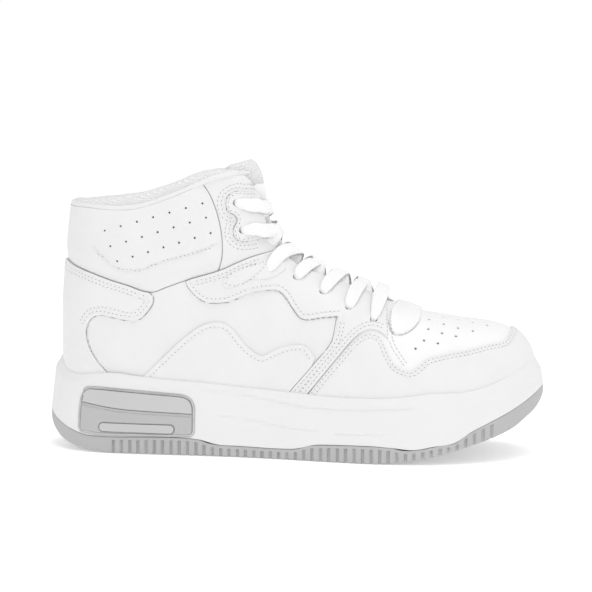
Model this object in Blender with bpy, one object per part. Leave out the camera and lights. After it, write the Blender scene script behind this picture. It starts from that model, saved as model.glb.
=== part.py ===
"""Right basketball high top, built as separate layers on one shoe form.

The form is the outer face of the main upper panels. Across the foot it is a superellipse that
runs from the edge of the insole board up to the ridge over the instep. A place on the form is a
pair (station, girth): station is the distance along the foot in mm, and girth runs from -100 at
the outer (lateral) edge of the board, over the ridge at 0, to +100 at the inner (medial) edge.
Every panel is an outline on the form, cut out of one shared grid and given a thickness between
two offsets, so the layers lie parallel and never meet.

Frame: +X to the toe, +Z up, -Y is the lateral side, origin on the floor under the middle.
All design values are in millimetres; the finished meshes are scaled to metres.
"""

import math

import bmesh
import bpy
import numpy as np
from mathutils import Vector

MM = 0.001

# ------------------------------------------------------------------ driving dimensions
HEEL_X = -139.5
TOE_X = 140.5
TOE_Y = 5.0
FRONT_X = -25.5
GRID_COLUMNS = 30
GRID_ROWS = 9
REFINE_REACH = 7.5
SLIVER_SHARE = 0.005
TIP_REACH = 4.0
TIP_MARKS = 60
GIRTH_END = 100.0
GIRTH_BEYOND = 130.0
STATION_BEYOND = 20.0

SEAM_GAP = 0.45
BASE_LAYER = (-1.3, 0.0)
OVERLAY_LAYER = (0.35, 1.75)
TAB_LAYER = (0.35, 2.0)
PATCH_LAYER = (0.35, 3.2)
STIFFENER_LAYER = (-2.8, -1.65)
LINING_LAYER = (-4.4, -3.1)
FOAM_LAYER = (-7.5, -1.65)
COLLAR_LINING_LAYER = (-9.0, -7.8)
INSERT_LAYER = (1.3, 2.8)
INSERT_CORE = 0.5

CUP_CLEARANCE = 2.2
CUP_BULGE = 0.5
LIP_WIDTH = 2.2
SHOULDER_DROP = 7.0
SHOULDER_SHARE = 0.72
OUTSOLE_FLOOR = 2.2
OUTSOLE_BAND = 2.0
OUTSOLE_BEVEL = (2.5, 1.8)
OUTSOLE_FLOOR_DROP = 1.0
PART_GAP = 0.3
BOARD_THICKNESS = 2.0
BOARD_INSET = 1.0
LINER_INSET = 6.4
LINER_THICKNESS = 5.0

# ------------------------------------------------------------------ outlines seen from above
UPPER_PLAN_LATERAL = [(-136, -14), (-125, -25.5), (-108, -31), (-80, -33), (-45, -34), (-10, -37),
                      (25, -43), (50, -46), (75, -45.5), (98, -40), (117, -31), (131, -19), (139, -6)]
UPPER_PLAN_MEDIAL = [(-137.5, 9), (-131, 20), (-118, 27.5), (-95, 30.5), (-65, 30), (-30, 30),
                     (5, 33), (35, 40), (60, 44.5), (85, 44.5), (106, 39.5), (124, 30), (136, 17)]
SOLE_PLAN_LATERAL = [(-143.5, -16), (-131, -29.5), (-110, -36.5), (-80, -38.5), (-45, -39.5),
                     (-10, -43), (25, -49.5), (50, -52.5), (75, -52), (100, -46), (120, -36),
                     (135, -23), (144, -9)]
SOLE_PLAN_MEDIAL = [(-145.5, 11), (-137.5, 24), (-120, 33.5), (-95, 36), (-65, 34.5), (-30, 34.5),
                    (5, 38), (35, 46), (60, 51), (85, 51), (108, 46), (128, 36), (141, 21)]
SOLE_HEEL_X = -147.5
SOLE_TOE = (146.5, 6.0)

# ------------------------------------------------------------------ profiles along the foot: (x, value)
BOARD_HEIGHT = [(-140, 27), (-100, 27), (-60, 25), (-20, 20.5), (10, 18), (45, 17), (80, 19),
                (100, 21.5), (115, 24.5), (125, 27.5), (132, 30.5), (137, 33), (141, 35)]
RIDGE_HEIGHT = [(-140, 268), (-120, 262), (-100, 252), (-80, 236), (-60, 216), (-45, 197),
                (-36, 183), (-30, 172), (-26, 163.5), (-23.4, 157.3), (-21, 150), (-17.5, 140.5),
                (-13, 130.5), (-7, 122.2), (0, 115), (11, 109), (28, 101.5), (48, 94), (60, 88),
                (73, 84), (82, 82.5), (91, 81.3), (100, 80), (114, 78.3), (120, 77), (126, 74.6),
                (131, 71.5), (136, 66), (139, 60.5), (141, 53)]
RIDGE_OFFSET = [(-140, 0), (-40, 0), (40, 2), (100, 4), (140.5, 5)]
SECTION_POWER = [(-140, 3.2), (-70, 3.2), (-30, 2.5), (0, 2.3), (60, 2.35), (141, 2.35)]
TOPLINE_HEIGHT = [(-141, 144), (-126, 143.2), (-110, 142.5), (-97, 143.6), (-86, 146.6), (-70, 151.8),
                  (-52, 158.5), (-42, 161.2), (-34, 162.6), (-25, 163)]
HEEL_LEAN_START = 85.0
HEEL_LEAN = 5.5
HEEL_LEAN_SPAN = 65.0
HEEL_LEAN_POWER = 1.3
HEEL_LEAN_FADE = (-120.0, -40.0)

SOLE_BOTTOM = [(-148, 19), (-146, 15), (-143, 11.4), (-138, 7.4), (-131, 4), (-122, 1.5),
               (-112, 0.3), (-103, 0), (50, 0), (62, 1), (73, 2.5), (85, 5), (95, 7.6), (103, 10),
               (119, 15.2), (129, 19.6), (136, 24.5), (142, 29.2), (147, 36)]
OUTSOLE_EDGE = [(-148, 24), (-143, 19.5), (-132, 13.5), (-121, 10.2), (-110, 9.7), (-55, 9.9),
                (-46, 7.4), (-29, 6.6), (4, 6.7), (12, 9.1), (58, 9.9), (66, 8.4), (76, 9.2),
                (88, 11.6), (95, 12.6), (101, 16.6), (109, 21), (118, 25), (127, 29.4),
                (136, 34.5), (147, 42)]
LIP_HEIGHT = [(-140, 55), (-136, 50), (-131, 46.5), (-122, 45.5), (-107, 47.2), (-85, 45.1),
              (-48, 42.6), (-28, 41), (1, 39.2), (28, 37.6), (60, 38.2), (81, 41), (98, 41.4),
              (108, 43.3), (121, 48), (131, 53.5), (141, 58)]

# ------------------------------------------------------------------ seams in side view: (x, z)
COLLAR_SEAM = [(-146, 112), (-137, 111.6), (-130, 108.6), (-118, 104.6), (-106, 100.7),
               (-96, 97.9), (-87, 94.9), (-81, 94.5), (-74, 97.2), (-60, 102.3), (-42, 107.8),
               (-32, 112.4), (-23, 116), (-11, 119.2)]
FACING_SEAM = [(-55, 163), (-52.5, 157.5), (-48.5, 151), (-44.6, 141.5), (-41.8, 130), (-41, 122),
               (-41.2, 114.8), (-43.5, 106)]
HEEL_OVERLAY_FRONT = [(-84, 94.6), (-81.3, 92), (-81, 89), (-83, 85), (-88.5, 79), (-92, 77.7),
                      (-98, 78), (-105, 79.4), (-112, 80.4), (-117, 79), (-120.5, 74.5),
                      (-121.5, 69), (-119.5, 61), (-114.5, 53), (-107, 45), (-101, 37)]
WAVE_TOP = [(-94, 37), (-86, 45.7), (-75, 56.7), (-66, 65.5), (-59, 71.4), (-51.5, 76.2),
            (-44.5, 78), (-38.5, 77.2), (-34, 74), (-29, 67.8), (-23, 62.2), (-17, 59),
            (-12.5, 61), (-6.5, 63.7), (2, 65.8), (8.5, 65.2), (14.5, 58.5)]
LEG_REAR = [(26.6, 80.6), (25.4, 72), (21.5, 64.5), (16.5, 58.5), (-0.6, 38.3), (-4, 34)]
LEG_FRONT = [(5.8, 33), (9, 36.4), (24.7, 56.2), (36, 69.8), (41, 73.6), (46, 75), (51, 73.6),
             (55.6, 70)]
EYESTAY_LOWER = [(-62, 101.2), (-60.5, 98), (-56.5, 93.4), (-50.5, 89.6), (-43.5, 89), (-37, 89.8),
                 (-24, 95), (-13.5, 96.6), (-8.5, 96.2), (-4.6, 93), (0.7, 85.7), (5, 81),
                 (9, 80.2), (18, 81.5), (26.6, 82.2)]
MUDGUARD_REAR = [(4, 30), (9.8, 36.9), (25.4, 56.2), (37.4, 69.8), (42, 72.4), (46.3, 73), (51.2, 71),
                 (54, 67), (57, 61), (60.5, 56), (64.5, 53.6), (69, 52.6), (73, 55), (78, 59),
                 (89, 61.8), (101, 63.7), (113, 66.3)]
MUDGUARD_TOE = [(121, -17), (125.5, -8), (126.8, 3.5), (125.5, 14), (121, 22.5)]
VAMP_REAR = [(2, 18), (10, 36), (20, 56), (25, 76), (27, 104)]
LACE_TAB_REAR = [(-24, 152.5), (-29, 152.8), (-34, 153.2), (-38.4, 150.6), (-39.6, 146.5),
                 (-38.2, 142), (-34.2, 139.6), (-32.8, 136.3), (-34.4, 133), (-35, 129.6),
                 (-33.6, 126.6), (-30.4, 124.8), (-26, 124.8), (-17, 126.5)]
PATCH_FRONT = [(56, 84.5), (56, 78), (58.6, 73), (63, 72.4), (68.5, 74.6), (72.3, 78)]
PATCH_CROWN = [(73.8, -15), (74.2, 3), (73.8, 19)]
PATCH_REAR = [(58.5, 14), (59.5, 3), (58.5, -8)]
THROAT_PLAN = [(57.5, 0), (56, -7), (50, -11.5), (38, -12.5), (20, -13.5), (0, -14.5), (-12, -15.5),
               (-19, -16)]
THROAT_SPLIT_X = 27.0
THROAT_SIDE = [(-20.3, 142), (-22.6, 150), (-25, 156.8), (-27.5, 160.6), (-32, 164)]
EYELETS = [(-34, 146.5), (-30, 131), (-16, 109), (1, 103.5), (17, 95.4), (32.4, 87), (47, 80.4)]
HEEL_COUNTER_EDGE = [(-141, 84), (-125, 84), (-95, 74), (-70, 55), (-55, 30)]
EYESTAY_BACKING_REAR = [(-41, 158), (-36.5, 147), (-34, 134), (-32.5, 122), (-30, 112), (-22, 105),
                        (0, 94), (24, 84), (44, 76), (52, 78)]
COLLAR_FOAM_EDGE = [(-141, 116), (-118, 108.5), (-96, 102), (-82, 99), (-60, 106), (-45, 113),
                    (-39.5, 122), (-41, 136), (-43.5, 148), (-47.5, 156), (-49.5, 165)]
QUARTER_LINING_TOP = [(-141, 110), (-118, 102.5), (-96, 96), (-82, 93), (-60, 99), (-42, 105),
                      (-34, 111), (-25, 115), (-15, 117)]
TOE_PUFF_SIDE = [(84, 26), (92, 55)]
TOE_PUFF_CROWN = [(100, -18), (102, 4), (100, 24)]
HEEL_INSERT = [(-121, 36.5), (-119, 37.6), (-111, 37.6), (-101, 37), (-63, 34.6), (-58.6, 33),
               (-56.6, 29), (-56.6, 12.2), (-77, 11.8), (-113, 11.6), (-124.5, 12.9), (-123.6, 29)]

BINDING_END_X = -36.0
BINDING_SECTION = [(0.0, 0.0), (0.0, 0.35), (0.18, 0.8), (0.5, 1.0), (0.84, 0.8), (1.0, 0.35),
                   (1.0, 0.0)]
BINDING_OUT = 0.9
BINDING_FOOT = 0.35
BINDING_DEPTH = [(-140, 10.5), (-56, 10.5), (-50, 8), (-44, 3.5), (-36, 2.5)]
BINDING_RISE = [(-140, 4), (-130, 5), (-120, 6.6), (-110, 8.4), (-60, 8.6), (-52, 7), (-44, 3.6),
                (-36, 2.2)]

TONGUE_BASE_X = 64.0
TONGUE_TOP_X = -29.5
TONGUE_TOP_SWEEP = 2.5
TONGUE_ROWS = 13
TONGUE_COLUMNS = 8
TONGUE_HALF_WIDTH = [(-35, 19), (-28, 20.5), (-15, 21), (10, 24), (50, 25), (64, 21)]
TONGUE_CENTRE_OFFSET = [(-35, 3.2), (-26, 2.7), (-21, 1.4), (-17.5, 0.2), (-13, -0.3), (5, -1.5),
                        (35, -3.5), (52, -5.8), (64, -6.4)]
TONGUE_EDGE_OFFSET = [(-35, -7.0), (-25, -6.4), (-12, -6.0), (5, -6.0), (64, -6.4)]
TONGUE_HUMP = (1.5, 10.0)
TONGUE_FACE = (-1.2, 0.0)
TONGUE_FOAM = (-4.8, -1.5)
TONGUE_LINING = (-6.1, -5.1)
TONGUE_AXIS = (62.0, 2.0, 77.0)

LACE_WIDTH = 7.5
LACE_THICKNESS = 2.2
LACE_END_LIFT = 3.5
LACE_CREST = 4.2
LACE_LEAN = 10.0
LACE_STEPS = 8

SHANK_X = (-70.0, 15.0)
SHANK_HALF_WIDTH = 9.0
SHANK_THICKNESS = 1.2
SHANK_MARKS = 9
SHANK_POCKET_RISE = 3.0

WHITE = (0.90, 0.90, 0.90, 1.0)
OFF_WHITE = (0.84, 0.84, 0.84, 1.0)
LIGHT_GREY = (0.62, 0.62, 0.62, 1.0)
GREY = (0.46, 0.46, 0.46, 1.0)
TAN = (0.60, 0.52, 0.42, 1.0)
FOAM_CREAM = (0.85, 0.83, 0.74, 1.0)
DARK_GREY = (0.20, 0.20, 0.21, 1.0)


# ------------------------------------------------------------------ curves
def smooth_through(points, steps=12):
    """Points of a centripetal Catmull-Rom curve through the given points."""
    p = np.array(points, float)
    ends = [2 * p[0] - p[1], 2 * p[-1] - p[-2]]
    p = np.vstack([ends[0], p, ends[1]])
    knots = np.concatenate([[0.0], np.cumsum(np.linalg.norm(np.diff(p, axis=0), axis=1) ** 0.5)])
    curve = []
    for i in range(1, len(p) - 2):
        k0, k1, k2, k3 = knots[i - 1:i + 3]
        for t in np.linspace(k1, k2, steps, endpoint=False):
            a1 = ((k1 - t) * p[i - 1] + (t - k0) * p[i]) / (k1 - k0)
            a2 = ((k2 - t) * p[i] + (t - k1) * p[i + 1]) / (k2 - k1)
            a3 = ((k3 - t) * p[i + 1] + (t - k2) * p[i + 2]) / (k3 - k2)
            b1 = ((k2 - t) * a1 + (t - k0) * a2) / (k2 - k0)
            b2 = ((k3 - t) * a2 + (t - k1) * a3) / (k3 - k1)
            curve.append(((k2 - t) * b1 + (t - k1) * b2) / (k2 - k1))
    curve.append(p[-2])
    return np.array(curve)


def profile(points):
    """A smooth function of x through the given (x, value) points."""
    curve = smooth_through(points)
    return lambda x: np.interp(x, curve[:, 0], curve[:, 1])


def plan_halves(heel_x, toe, lateral, medial):
    """Half outlines seen from above, each a function that gives y at a distance along the foot."""
    ring = [(heel_x, 0.0)] + lateral + [toe] + medial[::-1] + [(heel_x, 0.0)]
    ring = [medial[0]] + ring + [lateral[0]]
    steps = 24
    curve = smooth_through(ring, steps)
    turn = (1 + len(lateral) + 1) * steps
    outer, inner = curve[steps:turn + 1], curve[turn:-steps][::-1]
    return ((lambda x: np.interp(x, outer[:, 0], outer[:, 1])),
            (lambda x: np.interp(x, inner[:, 0], inner[:, 1])), outer)


board_height = profile(BOARD_HEIGHT)
ridge_height = profile(RIDGE_HEIGHT)
ridge_offset = profile(RIDGE_OFFSET)
section_power = profile(SECTION_POWER)
topline_height = profile(TOPLINE_HEIGHT)
bottom_curve = profile(SOLE_BOTTOM)
outsole_edge = profile(OUTSOLE_EDGE)
lip_height = profile(LIP_HEIGHT)
upper_lateral, upper_medial, upper_outline = plan_halves(
    HEEL_X, (TOE_X, TOE_Y), UPPER_PLAN_LATERAL, UPPER_PLAN_MEDIAL)
sole_lateral, sole_medial, sole_outline = plan_halves(
    SOLE_HEEL_X, SOLE_TOE, SOLE_PLAN_LATERAL, SOLE_PLAN_MEDIAL)


def sole_bottom(x):
    """The underside: flat on the floor from the heel to the ball, rising at both ends."""
    return np.maximum(bottom_curve(x), 0.0)


def stations(outline, start, end, count):
    """Distances along the foot, evenly spaced round an outline, from heel to toe."""
    run = np.concatenate([[0.0], np.cumsum(np.linalg.norm(np.diff(outline, axis=0), axis=1))])
    xs = np.interp(np.linspace(0, run[-1], count + 1), run, outline[:, 0])
    xs[0], xs[-1] = start, end
    return xs


# ------------------------------------------------------------------ the form
def smoothstep(low, high, value):
    """Rises smoothly from 0 at the low value to 1 at the high one."""
    t = np.clip((value - low) / (high - low), 0.0, 1.0)
    return t * t * (3 - 2 * t)


def heel_lean(x, z):
    """How far the heel leans forward at a height; the lean fades out towards the instep."""
    rise = np.clip((z - HEEL_LEAN_START) / HEEL_LEAN_SPAN, 0.0, None) ** HEEL_LEAN_POWER
    return HEEL_LEAN * rise * (1 - smoothstep(*HEEL_LEAN_FADE, x))


def half_width(x, side):
    """Signed distance from the ridge plane to the board's edge; it is zero at heel and toe."""
    width = np.where(side < 0, upper_lateral(x), upper_medial(x)) - ridge_offset(x)
    return np.where((x > HEEL_X) & (x < TOE_X), width, 0.0)


def form_point(x, girth):
    """World place (mm) of a station and girth on the form."""
    x = np.asarray(x, float)
    girth = np.asarray(girth, float)
    angle = (1 - np.abs(girth) / GIRTH_END) * math.pi / 2
    power = 2 / section_power(x)
    width = half_width(x, girth)
    z = board_height(x) + (ridge_height(x) - board_height(x)) * np.sin(angle) ** power
    y = ridge_offset(x) + width * np.clip(np.cos(angle), 0, 1) ** power
    return np.stack([x + heel_lean(x, z), y, z], axis=-1)


def side_mark(x, z, side):
    """(station, girth) of a place given in side view."""
    station = x - heel_lean(x, z)
    share = (z - board_height(station)) / (ridge_height(station) - board_height(station))
    angle = np.arcsin(np.clip(share, 0, 1) ** (section_power(station) / 2))
    girth = GIRTH_END * (1 - angle / (math.pi / 2))
    girth = np.where(share < 0, GIRTH_END * (1 - share), girth)
    return np.stack([station, side * girth], axis=-1)


def plan_mark(x, y):
    """(station, girth) of a place given from above."""
    side = 1.0 if y > ridge_offset(x) else -1.0
    share = (y - ridge_offset(x)) / half_width(x, side)
    angle = math.acos(min(1.0, float(share)) ** (float(section_power(x)) / 2))
    return np.array([x, side * GIRTH_END * (1 - angle / (math.pi / 2))])


def side_curve(points, side):
    """Marks along a smooth curve through places given in side view."""
    curve = smooth_through(points, 8)
    return side_mark(curve[:, 0], curve[:, 1], side)


def topline_girth(x):
    """Girth of the topline at a station, on the medial side."""
    return side_mark(x, topline_height(x), 1.0)[..., 1]


def form_grid(columns, rows):
    """Both halves of the form as one list of points, charts and triangles, not yet welded."""
    xs = stations(upper_outline, HEEL_X, TOE_X, columns)
    points, charts, triangles = [], [], []
    for side in (-1.0, 1.0):
        first = sum(len(p) for p in points)
        for x in xs:
            top = float(topline_girth(x)) if x < FRONT_X else 0.0
            fine = np.linspace(GIRTH_END, top, 200)
            line = form_point(np.full(200, x), side * fine)
            run = np.concatenate([[0.0], np.cumsum(np.linalg.norm(np.diff(line, axis=0), axis=1))])
            girth = side * np.interp(np.linspace(0, run[-1], rows + 1), run, fine)
            points.append(form_point(np.full(rows + 1, x), girth))
            charts.append(np.stack([np.full(rows + 1, x), girth], axis=1))
        for i in range(columns):
            for j in range(rows):
                a = first + i * (rows + 1) + j
                b, c, d = a + rows + 1, a + rows + 2, a + 1
                pair = [(a, b, c), (a, c, d)] if (i + j) % 2 else [(a, b, d), (b, c, d)]
                triangles += pair if side < 0 else [t[::-1] for t in pair]
    return np.vstack(points), np.vstack(charts), np.array(triangles)


def weld_index(points):
    """For each point, the number of the first point in the same place."""
    _, index, back = np.unique(np.round(points, 4), axis=0, return_index=True, return_inverse=True)
    return index[back.ravel()]


def vertex_normals(points, triangles):
    """Normals averaged over the triangles that meet at each place."""
    same = weld_index(points)
    a, b, c = (points[triangles[:, k]] for k in range(3))
    face = np.cross(b - a, c - a)
    normal = np.zeros_like(points)
    for k in range(3):
        np.add.at(normal, same[triangles[:, k]], face)
    normal = normal[same]
    return normal / np.maximum(np.linalg.norm(normal, axis=1, keepdims=True), 1e-12)


# ------------------------------------------------------------------ cutting panels from the grid
def inside_polygon(places, polygon):
    """Which places lie inside a closed outline, both given as (station, girth)."""
    x, y = places[:, 0], places[:, 1]
    inside = np.zeros(len(places), bool)
    for (x1, y1), (x2, y2) in zip(polygon, np.roll(polygon, -1, axis=0)):
        if y1 == y2:
            continue
        crosses = (y1 > y) != (y2 > y)
        inside ^= crosses & (x < (x2 - x1) * (y - y1) / (y2 - y1) + x1)
    return inside


def outline_distance(places, polygons):
    """Signed distance in mm, over the form, to the outlines; it is positive inside them."""
    inside = np.zeros(len(places), bool)
    marks = []
    for polygon in polygons:
        inside |= inside_polygon(places, polygon)
        rolled = np.roll(polygon, -1, axis=0)
        for start, end in zip(polygon, rolled):
            length = math.hypot(*(end - start))
            near_tip = min(start[0] - HEEL_X, TOE_X - start[0]) < TIP_REACH
            count = TIP_MARKS if near_tip else int(2 * length)
            share = np.linspace(0, 1, max(2, count), endpoint=False)[:, None]
            marks.append(start + (end - start) * share)
    marks = np.vstack(marks)
    on_form = (marks[:, 0] > HEEL_X) & (marks[:, 0] < TOE_X) & (np.abs(marks[:, 1]) < GIRTH_END)
    marks = marks[on_form]
    edge = form_point(marks[:, 0], marks[:, 1])
    here = form_point(np.clip(places[:, 0], HEEL_X, TOE_X), np.clip(places[:, 1], -GIRTH_END, GIRTH_END))
    nearest = np.full(len(places), 1e9)
    for start in range(0, len(here), 2000):
        block = here[start:start + 2000]
        gap = np.linalg.norm(block[:, None, :] - edge[None], axis=2)
        nearest[start:start + 2000] = gap.min(axis=1)
    return np.where(inside, nearest, -nearest)


def refined_near(points, normals, charts, triangles, field, reach):
    """Halve the edges that pass near an outline, so that narrow panels keep their shape."""
    pairs = np.sort(np.vstack([triangles[:, [0, 1]], triangles[:, [1, 2]], triangles[:, [2, 0]]]), axis=1)
    edges, back = np.unique(pairs, axis=0, return_inverse=True)
    back = back.ravel().reshape(3, -1).T
    near = np.abs(field(charts[edges].mean(axis=1))) < reach
    number = np.where(near, len(points) + np.cumsum(near) - 1, -1)
    middle = number[back]
    made = []
    for corners, mids in zip(triangles, middle):
        split = [m >= 0 for m in mids]
        turn = {1: split.index(True) if any(split) else 0,
                2: (split.index(False) + 1) % 3 if not all(split) else 0}.get(sum(split), 0)
        a, b, c = np.roll(corners, -turn)
        ab, bc, ca = np.roll(mids, -turn)
        made += {0: [(a, b, c)],
                 1: [(a, ab, c), (ab, b, c)],
                 2: [(ab, b, bc), (a, ab, bc), (a, bc, c)],
                 3: [(a, ab, ca), (ab, b, bc), (ca, bc, c), (ab, bc, ca)]}[sum(split)]

    def extended(data):
        return np.vstack([data, data[edges[near]].mean(axis=1)])

    return extended(points), extended(normals), extended(charts), np.array(made)


def clip_grid(points, normals, charts, triangles, field):
    """Keep the part of the triangles where the field is positive."""
    value = field(charts)
    keep = value > 0
    count = keep[triangles].sum(axis=1)
    whole = triangles[count == 3]
    mixed = triangles[(count == 1) | (count == 2)]
    odd_keeps = (keep[mixed].sum(axis=1) == 1)
    odd = np.argmax(keep[mixed] == odd_keeps[:, None], axis=1)
    rows = np.arange(len(mixed))
    a, b, c = mixed[rows, odd], mixed[rows, (odd + 1) % 3], mixed[rows, (odd + 2) % 3]
    edges = np.sort(np.vstack([np.stack([a, b], 1), np.stack([a, c], 1)]), axis=1)
    unique, back = np.unique(edges, axis=0, return_inverse=True)
    back = back.ravel()
    low = np.where(keep[unique[:, 0]], 0.0, 1.0)
    high = 1.0 - low
    for _ in range(12):
        middle = (low + high) / 2
        place = charts[unique[:, 0]] + (charts[unique[:, 1]] - charts[unique[:, 0]]) * middle[:, None]
        kept = field(place) > 0
        low = np.where(kept, middle, low)
        high = np.where(kept, high, middle)
    share = np.clip((low + high) / 2, SLIVER_SHARE, 1 - SLIVER_SHARE)[:, None]

    def blend(data):
        return np.vstack([data, data[unique[:, 0]] * (1 - share) + data[unique[:, 1]] * share])

    ab = len(points) + back[:len(mixed)]
    ac = len(points) + back[len(mixed):]
    corner = np.stack([a, ab, ac], 1)[odd_keeps]
    rest = ~odd_keeps
    band = np.vstack([np.stack([ab, b, c], 1)[rest], np.stack([ab, c, ac], 1)[rest]])
    return blend(points), blend(normals), blend(charts), np.vstack([whole, corner, band])


def behind_heel(seam):
    """Carries a seam on past the heel, where the two sides of the shoe meet."""
    return seam[:1] - (STATION_BEYOND, 0.0)


def below_board(x_from, x_to, side):
    """Closes an outline below the edge of the board."""
    return np.array([(x_from, side * GIRTH_BEYOND), (x_to, side * GIRTH_BEYOND)])


def throat_curve(side):
    """The edge of the lacing gap, from the ridge at its toe end up to the topline."""
    plan = [plan_mark(x, ridge_offset(x) + side * abs(y)) for x, y in THROAT_PLAN[1:]]
    rest = [side_mark(x, z, side) for x, z in THROAT_SIDE]
    return smooth_through([np.array([THROAT_PLAN[0][0], 0.0])] + plan + rest, 8)


def above_topline(side, x_from, x_to):
    """Closes an outline above the topline, close to the ridge."""
    return np.array([(x_from, side * 2.0), (x_to, side * 2.0)])


def panel_outlines():
    """Every panel's outlines on the form, by node name."""
    heel, toe = HEEL_X - STATION_BEYOND, TOE_X + STATION_BEYOND
    panels, halves = {}, []
    for side, label in ((-1.0, "lateral"), (1.0, "medial")):
        seam = side_curve(COLLAR_SEAM, side)
        facing = side_curve(FACING_SEAM, side)
        throat = throat_curve(side)
        vamp_rear = side_curve(VAMP_REAR, side)
        leg_rear = side_curve(LEG_REAR, side)
        meeting = np.argmin(np.linalg.norm(throat - seam[-1], axis=1))
        throat_high, throat_low = throat[meeting:], throat[:meeting]
        in_front = throat_low[throat_low[:, 0] > THROAT_SPLIT_X]
        behind = throat_low[throat_low[:, 0] <= THROAT_SPLIT_X]
        front_seam = seam[seam[:, 0] > facing[-1, 0]]
        rear_seam = seam[seam[:, 0] <= facing[-1, 0]]
        top = above_topline(side, -56, heel)

        panels["quarter_" + label] = [np.vstack([
            behind_heel(seam), seam, behind[::-1], vamp_rear[::-1], below_board(-10, heel, side)])]
        panels["ankle_facing_" + label] = [np.vstack([
            facing[::-1], above_topline(side, -56, -32), throat_high[::-1], front_seam[::-1]])]
        tab_front = throat_high[(throat_high[:, 0] > -23.2) & (throat_high[:, 0] < -15)]
        panels["lace_tab_" + label] = [np.vstack([side_curve(LACE_TAB_REAR, side), tab_front])]
        panels["eyestay_" + label] = [np.vstack([
            side_curve(EYESTAY_LOWER, side), leg_rear[1:], side_curve(LEG_FRONT, side),
            in_front[in_front[:, 0] < 54], behind, seam[seam[:, 0] > -61][::-1]])]
        panels["wave_overlay_" + label] = [np.vstack([
            side_curve(WAVE_TOP, side), leg_rear[leg_rear[:, 0] < 14], below_board(-20, -100, side)])]
        panels["eyestay_backing_" + label] = [np.vstack([
            throat[(throat[:, 0] > -34) & (throat[:, 0] < 52)],
            side_curve(EYESTAY_BACKING_REAR, side)])]

        shared = {
            "heel_overlay": [behind_heel(seam), seam[seam[:, 0] < -84.5],
                             side_curve(HEEL_OVERLAY_FRONT, side), below_board(-90, heel, side)],
            "collar_panel": [rear_seam, facing[facing[:, 1] * side < rear_seam[-1, 1] * side][::-1],
                             top, behind_heel(seam)],
            "heel_counter": [side_curve(HEEL_COUNTER_EDGE, side), below_board(-50, heel, side),
                             behind_heel(seam)],
            "collar_foam": [side_curve(COLLAR_FOAM_EDGE, side), top, behind_heel(seam)],
            "collar_lining": [side_curve(COLLAR_FOAM_EDGE, side), top, behind_heel(seam)],
            "quarter_lining": [side_curve(QUARTER_LINING_TOP, side), behind[behind[:, 0] > -12][::-1],
                               vamp_rear[::-1], below_board(-10, heel, side)]}
        for name, runs in shared.items():
            panels.setdefault(name, []).append(np.vstack(runs))
        halves.append((vamp_rear, in_front))
    panels.update(front_panels(halves, toe))
    return panels


def across_ridge(side_points, crown_points):
    """Marks down one side, over the ridge and up the other side."""
    marks = [side_mark(x, z, -1.0) for x, z in side_points]
    marks += [plan_mark(x, y) for x, y in crown_points]
    return marks + [side_mark(x, z, 1.0) for x, z in side_points[::-1]]


def front_panels(halves, toe):
    """Outlines of the panels that cross the ridge: vamp, mudguard, toe puff, throat patch."""
    (rear_l, throat_l), (rear_m, throat_m) = halves

    def round_toe(start):
        return [below_board(start, toe, 1.0), below_board(toe, start, -1.0)]

    vamp = [np.vstack([rear_l, throat_l[::-1], throat_m[1:], rear_m[::-1]] + round_toe(10))]
    window = smooth_through(across_ridge(MUDGUARD_REAR, MUDGUARD_TOE), 8)
    puff = smooth_through(across_ridge(TOE_PUFF_SIDE, TOE_PUFF_CROWN), 8)
    patch = smooth_through(across_ridge(PATCH_FRONT, PATCH_CROWN), 8)
    patch_rear = [plan_mark(x, y) for x, y in PATCH_REAR]
    return {"vamp": vamp, "vamp_lining": vamp,
            "mudguard": [np.vstack([window] + round_toe(8))],
            "toe_puff": [np.vstack([puff] + round_toe(80))],
            "throat_patch": [np.vstack([patch, patch_rear])]}


# ------------------------------------------------------------------ meshes and materials
def material(name, colour, roughness):
    """A plain Principled material."""
    made = bpy.data.materials.get(name) or bpy.data.materials.new(name)
    made.use_nodes = True
    shader = made.node_tree.nodes["Principled BSDF"]
    shader.inputs["Base Color"].default_value = colour
    shader.inputs["Roughness"].default_value = roughness
    shader.inputs["Metallic"].default_value = 0.0
    made.diffuse_color = colour
    return made


def add_object(name, points, faces, finish, origin=(0.0, 0.0, 0.0)):
    """A named mesh object from points in millimetres, with its origin at the given place."""
    mesh = bpy.data.meshes.new(name)
    local = (np.asarray(points, float) - np.array(origin)) * MM
    mesh.from_pydata([tuple(p) for p in local], [], [tuple(int(i) for i in f) for f in faces])
    mesh.materials.append(finish)
    body = bmesh.new()
    body.from_mesh(mesh)
    bmesh.ops.remove_doubles(body, verts=body.verts, dist=1e-7)
    bmesh.ops.recalc_face_normals(body, faces=body.faces)
    body.to_mesh(mesh)
    body.free()
    mesh.shade_smooth()
    mesh.set_sharp_from_angle(angle=math.radians(40))
    made = bpy.data.objects.new(name, mesh)
    made.location = Vector(origin) * MM
    bpy.context.scene.collection.objects.link(made)
    return made


def thickened(points, normals, triangles, low, high):
    """A closed shell between two offsets of one open surface."""
    used, renumbered = np.unique(triangles, return_inverse=True)
    triangles = renumbered.reshape(-1, 3)
    points, normals = points[used], normals[used]
    count = len(used)
    directed = np.vstack([triangles[:, [0, 1]], triangles[:, [1, 2]], triangles[:, [2, 0]]])
    known = {tuple(e) for e in directed}
    rim = [(a, b) for a, b in directed if (b, a) not in known]
    faces = [tuple(t) for t in triangles + count]
    faces += [tuple(t[::-1]) for t in triangles]
    for a, b in rim:
        faces += [(a, b, b + count), (a, b + count, a + count)]
    return np.vstack([points + normals * low, points + normals * high]), faces


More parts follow.
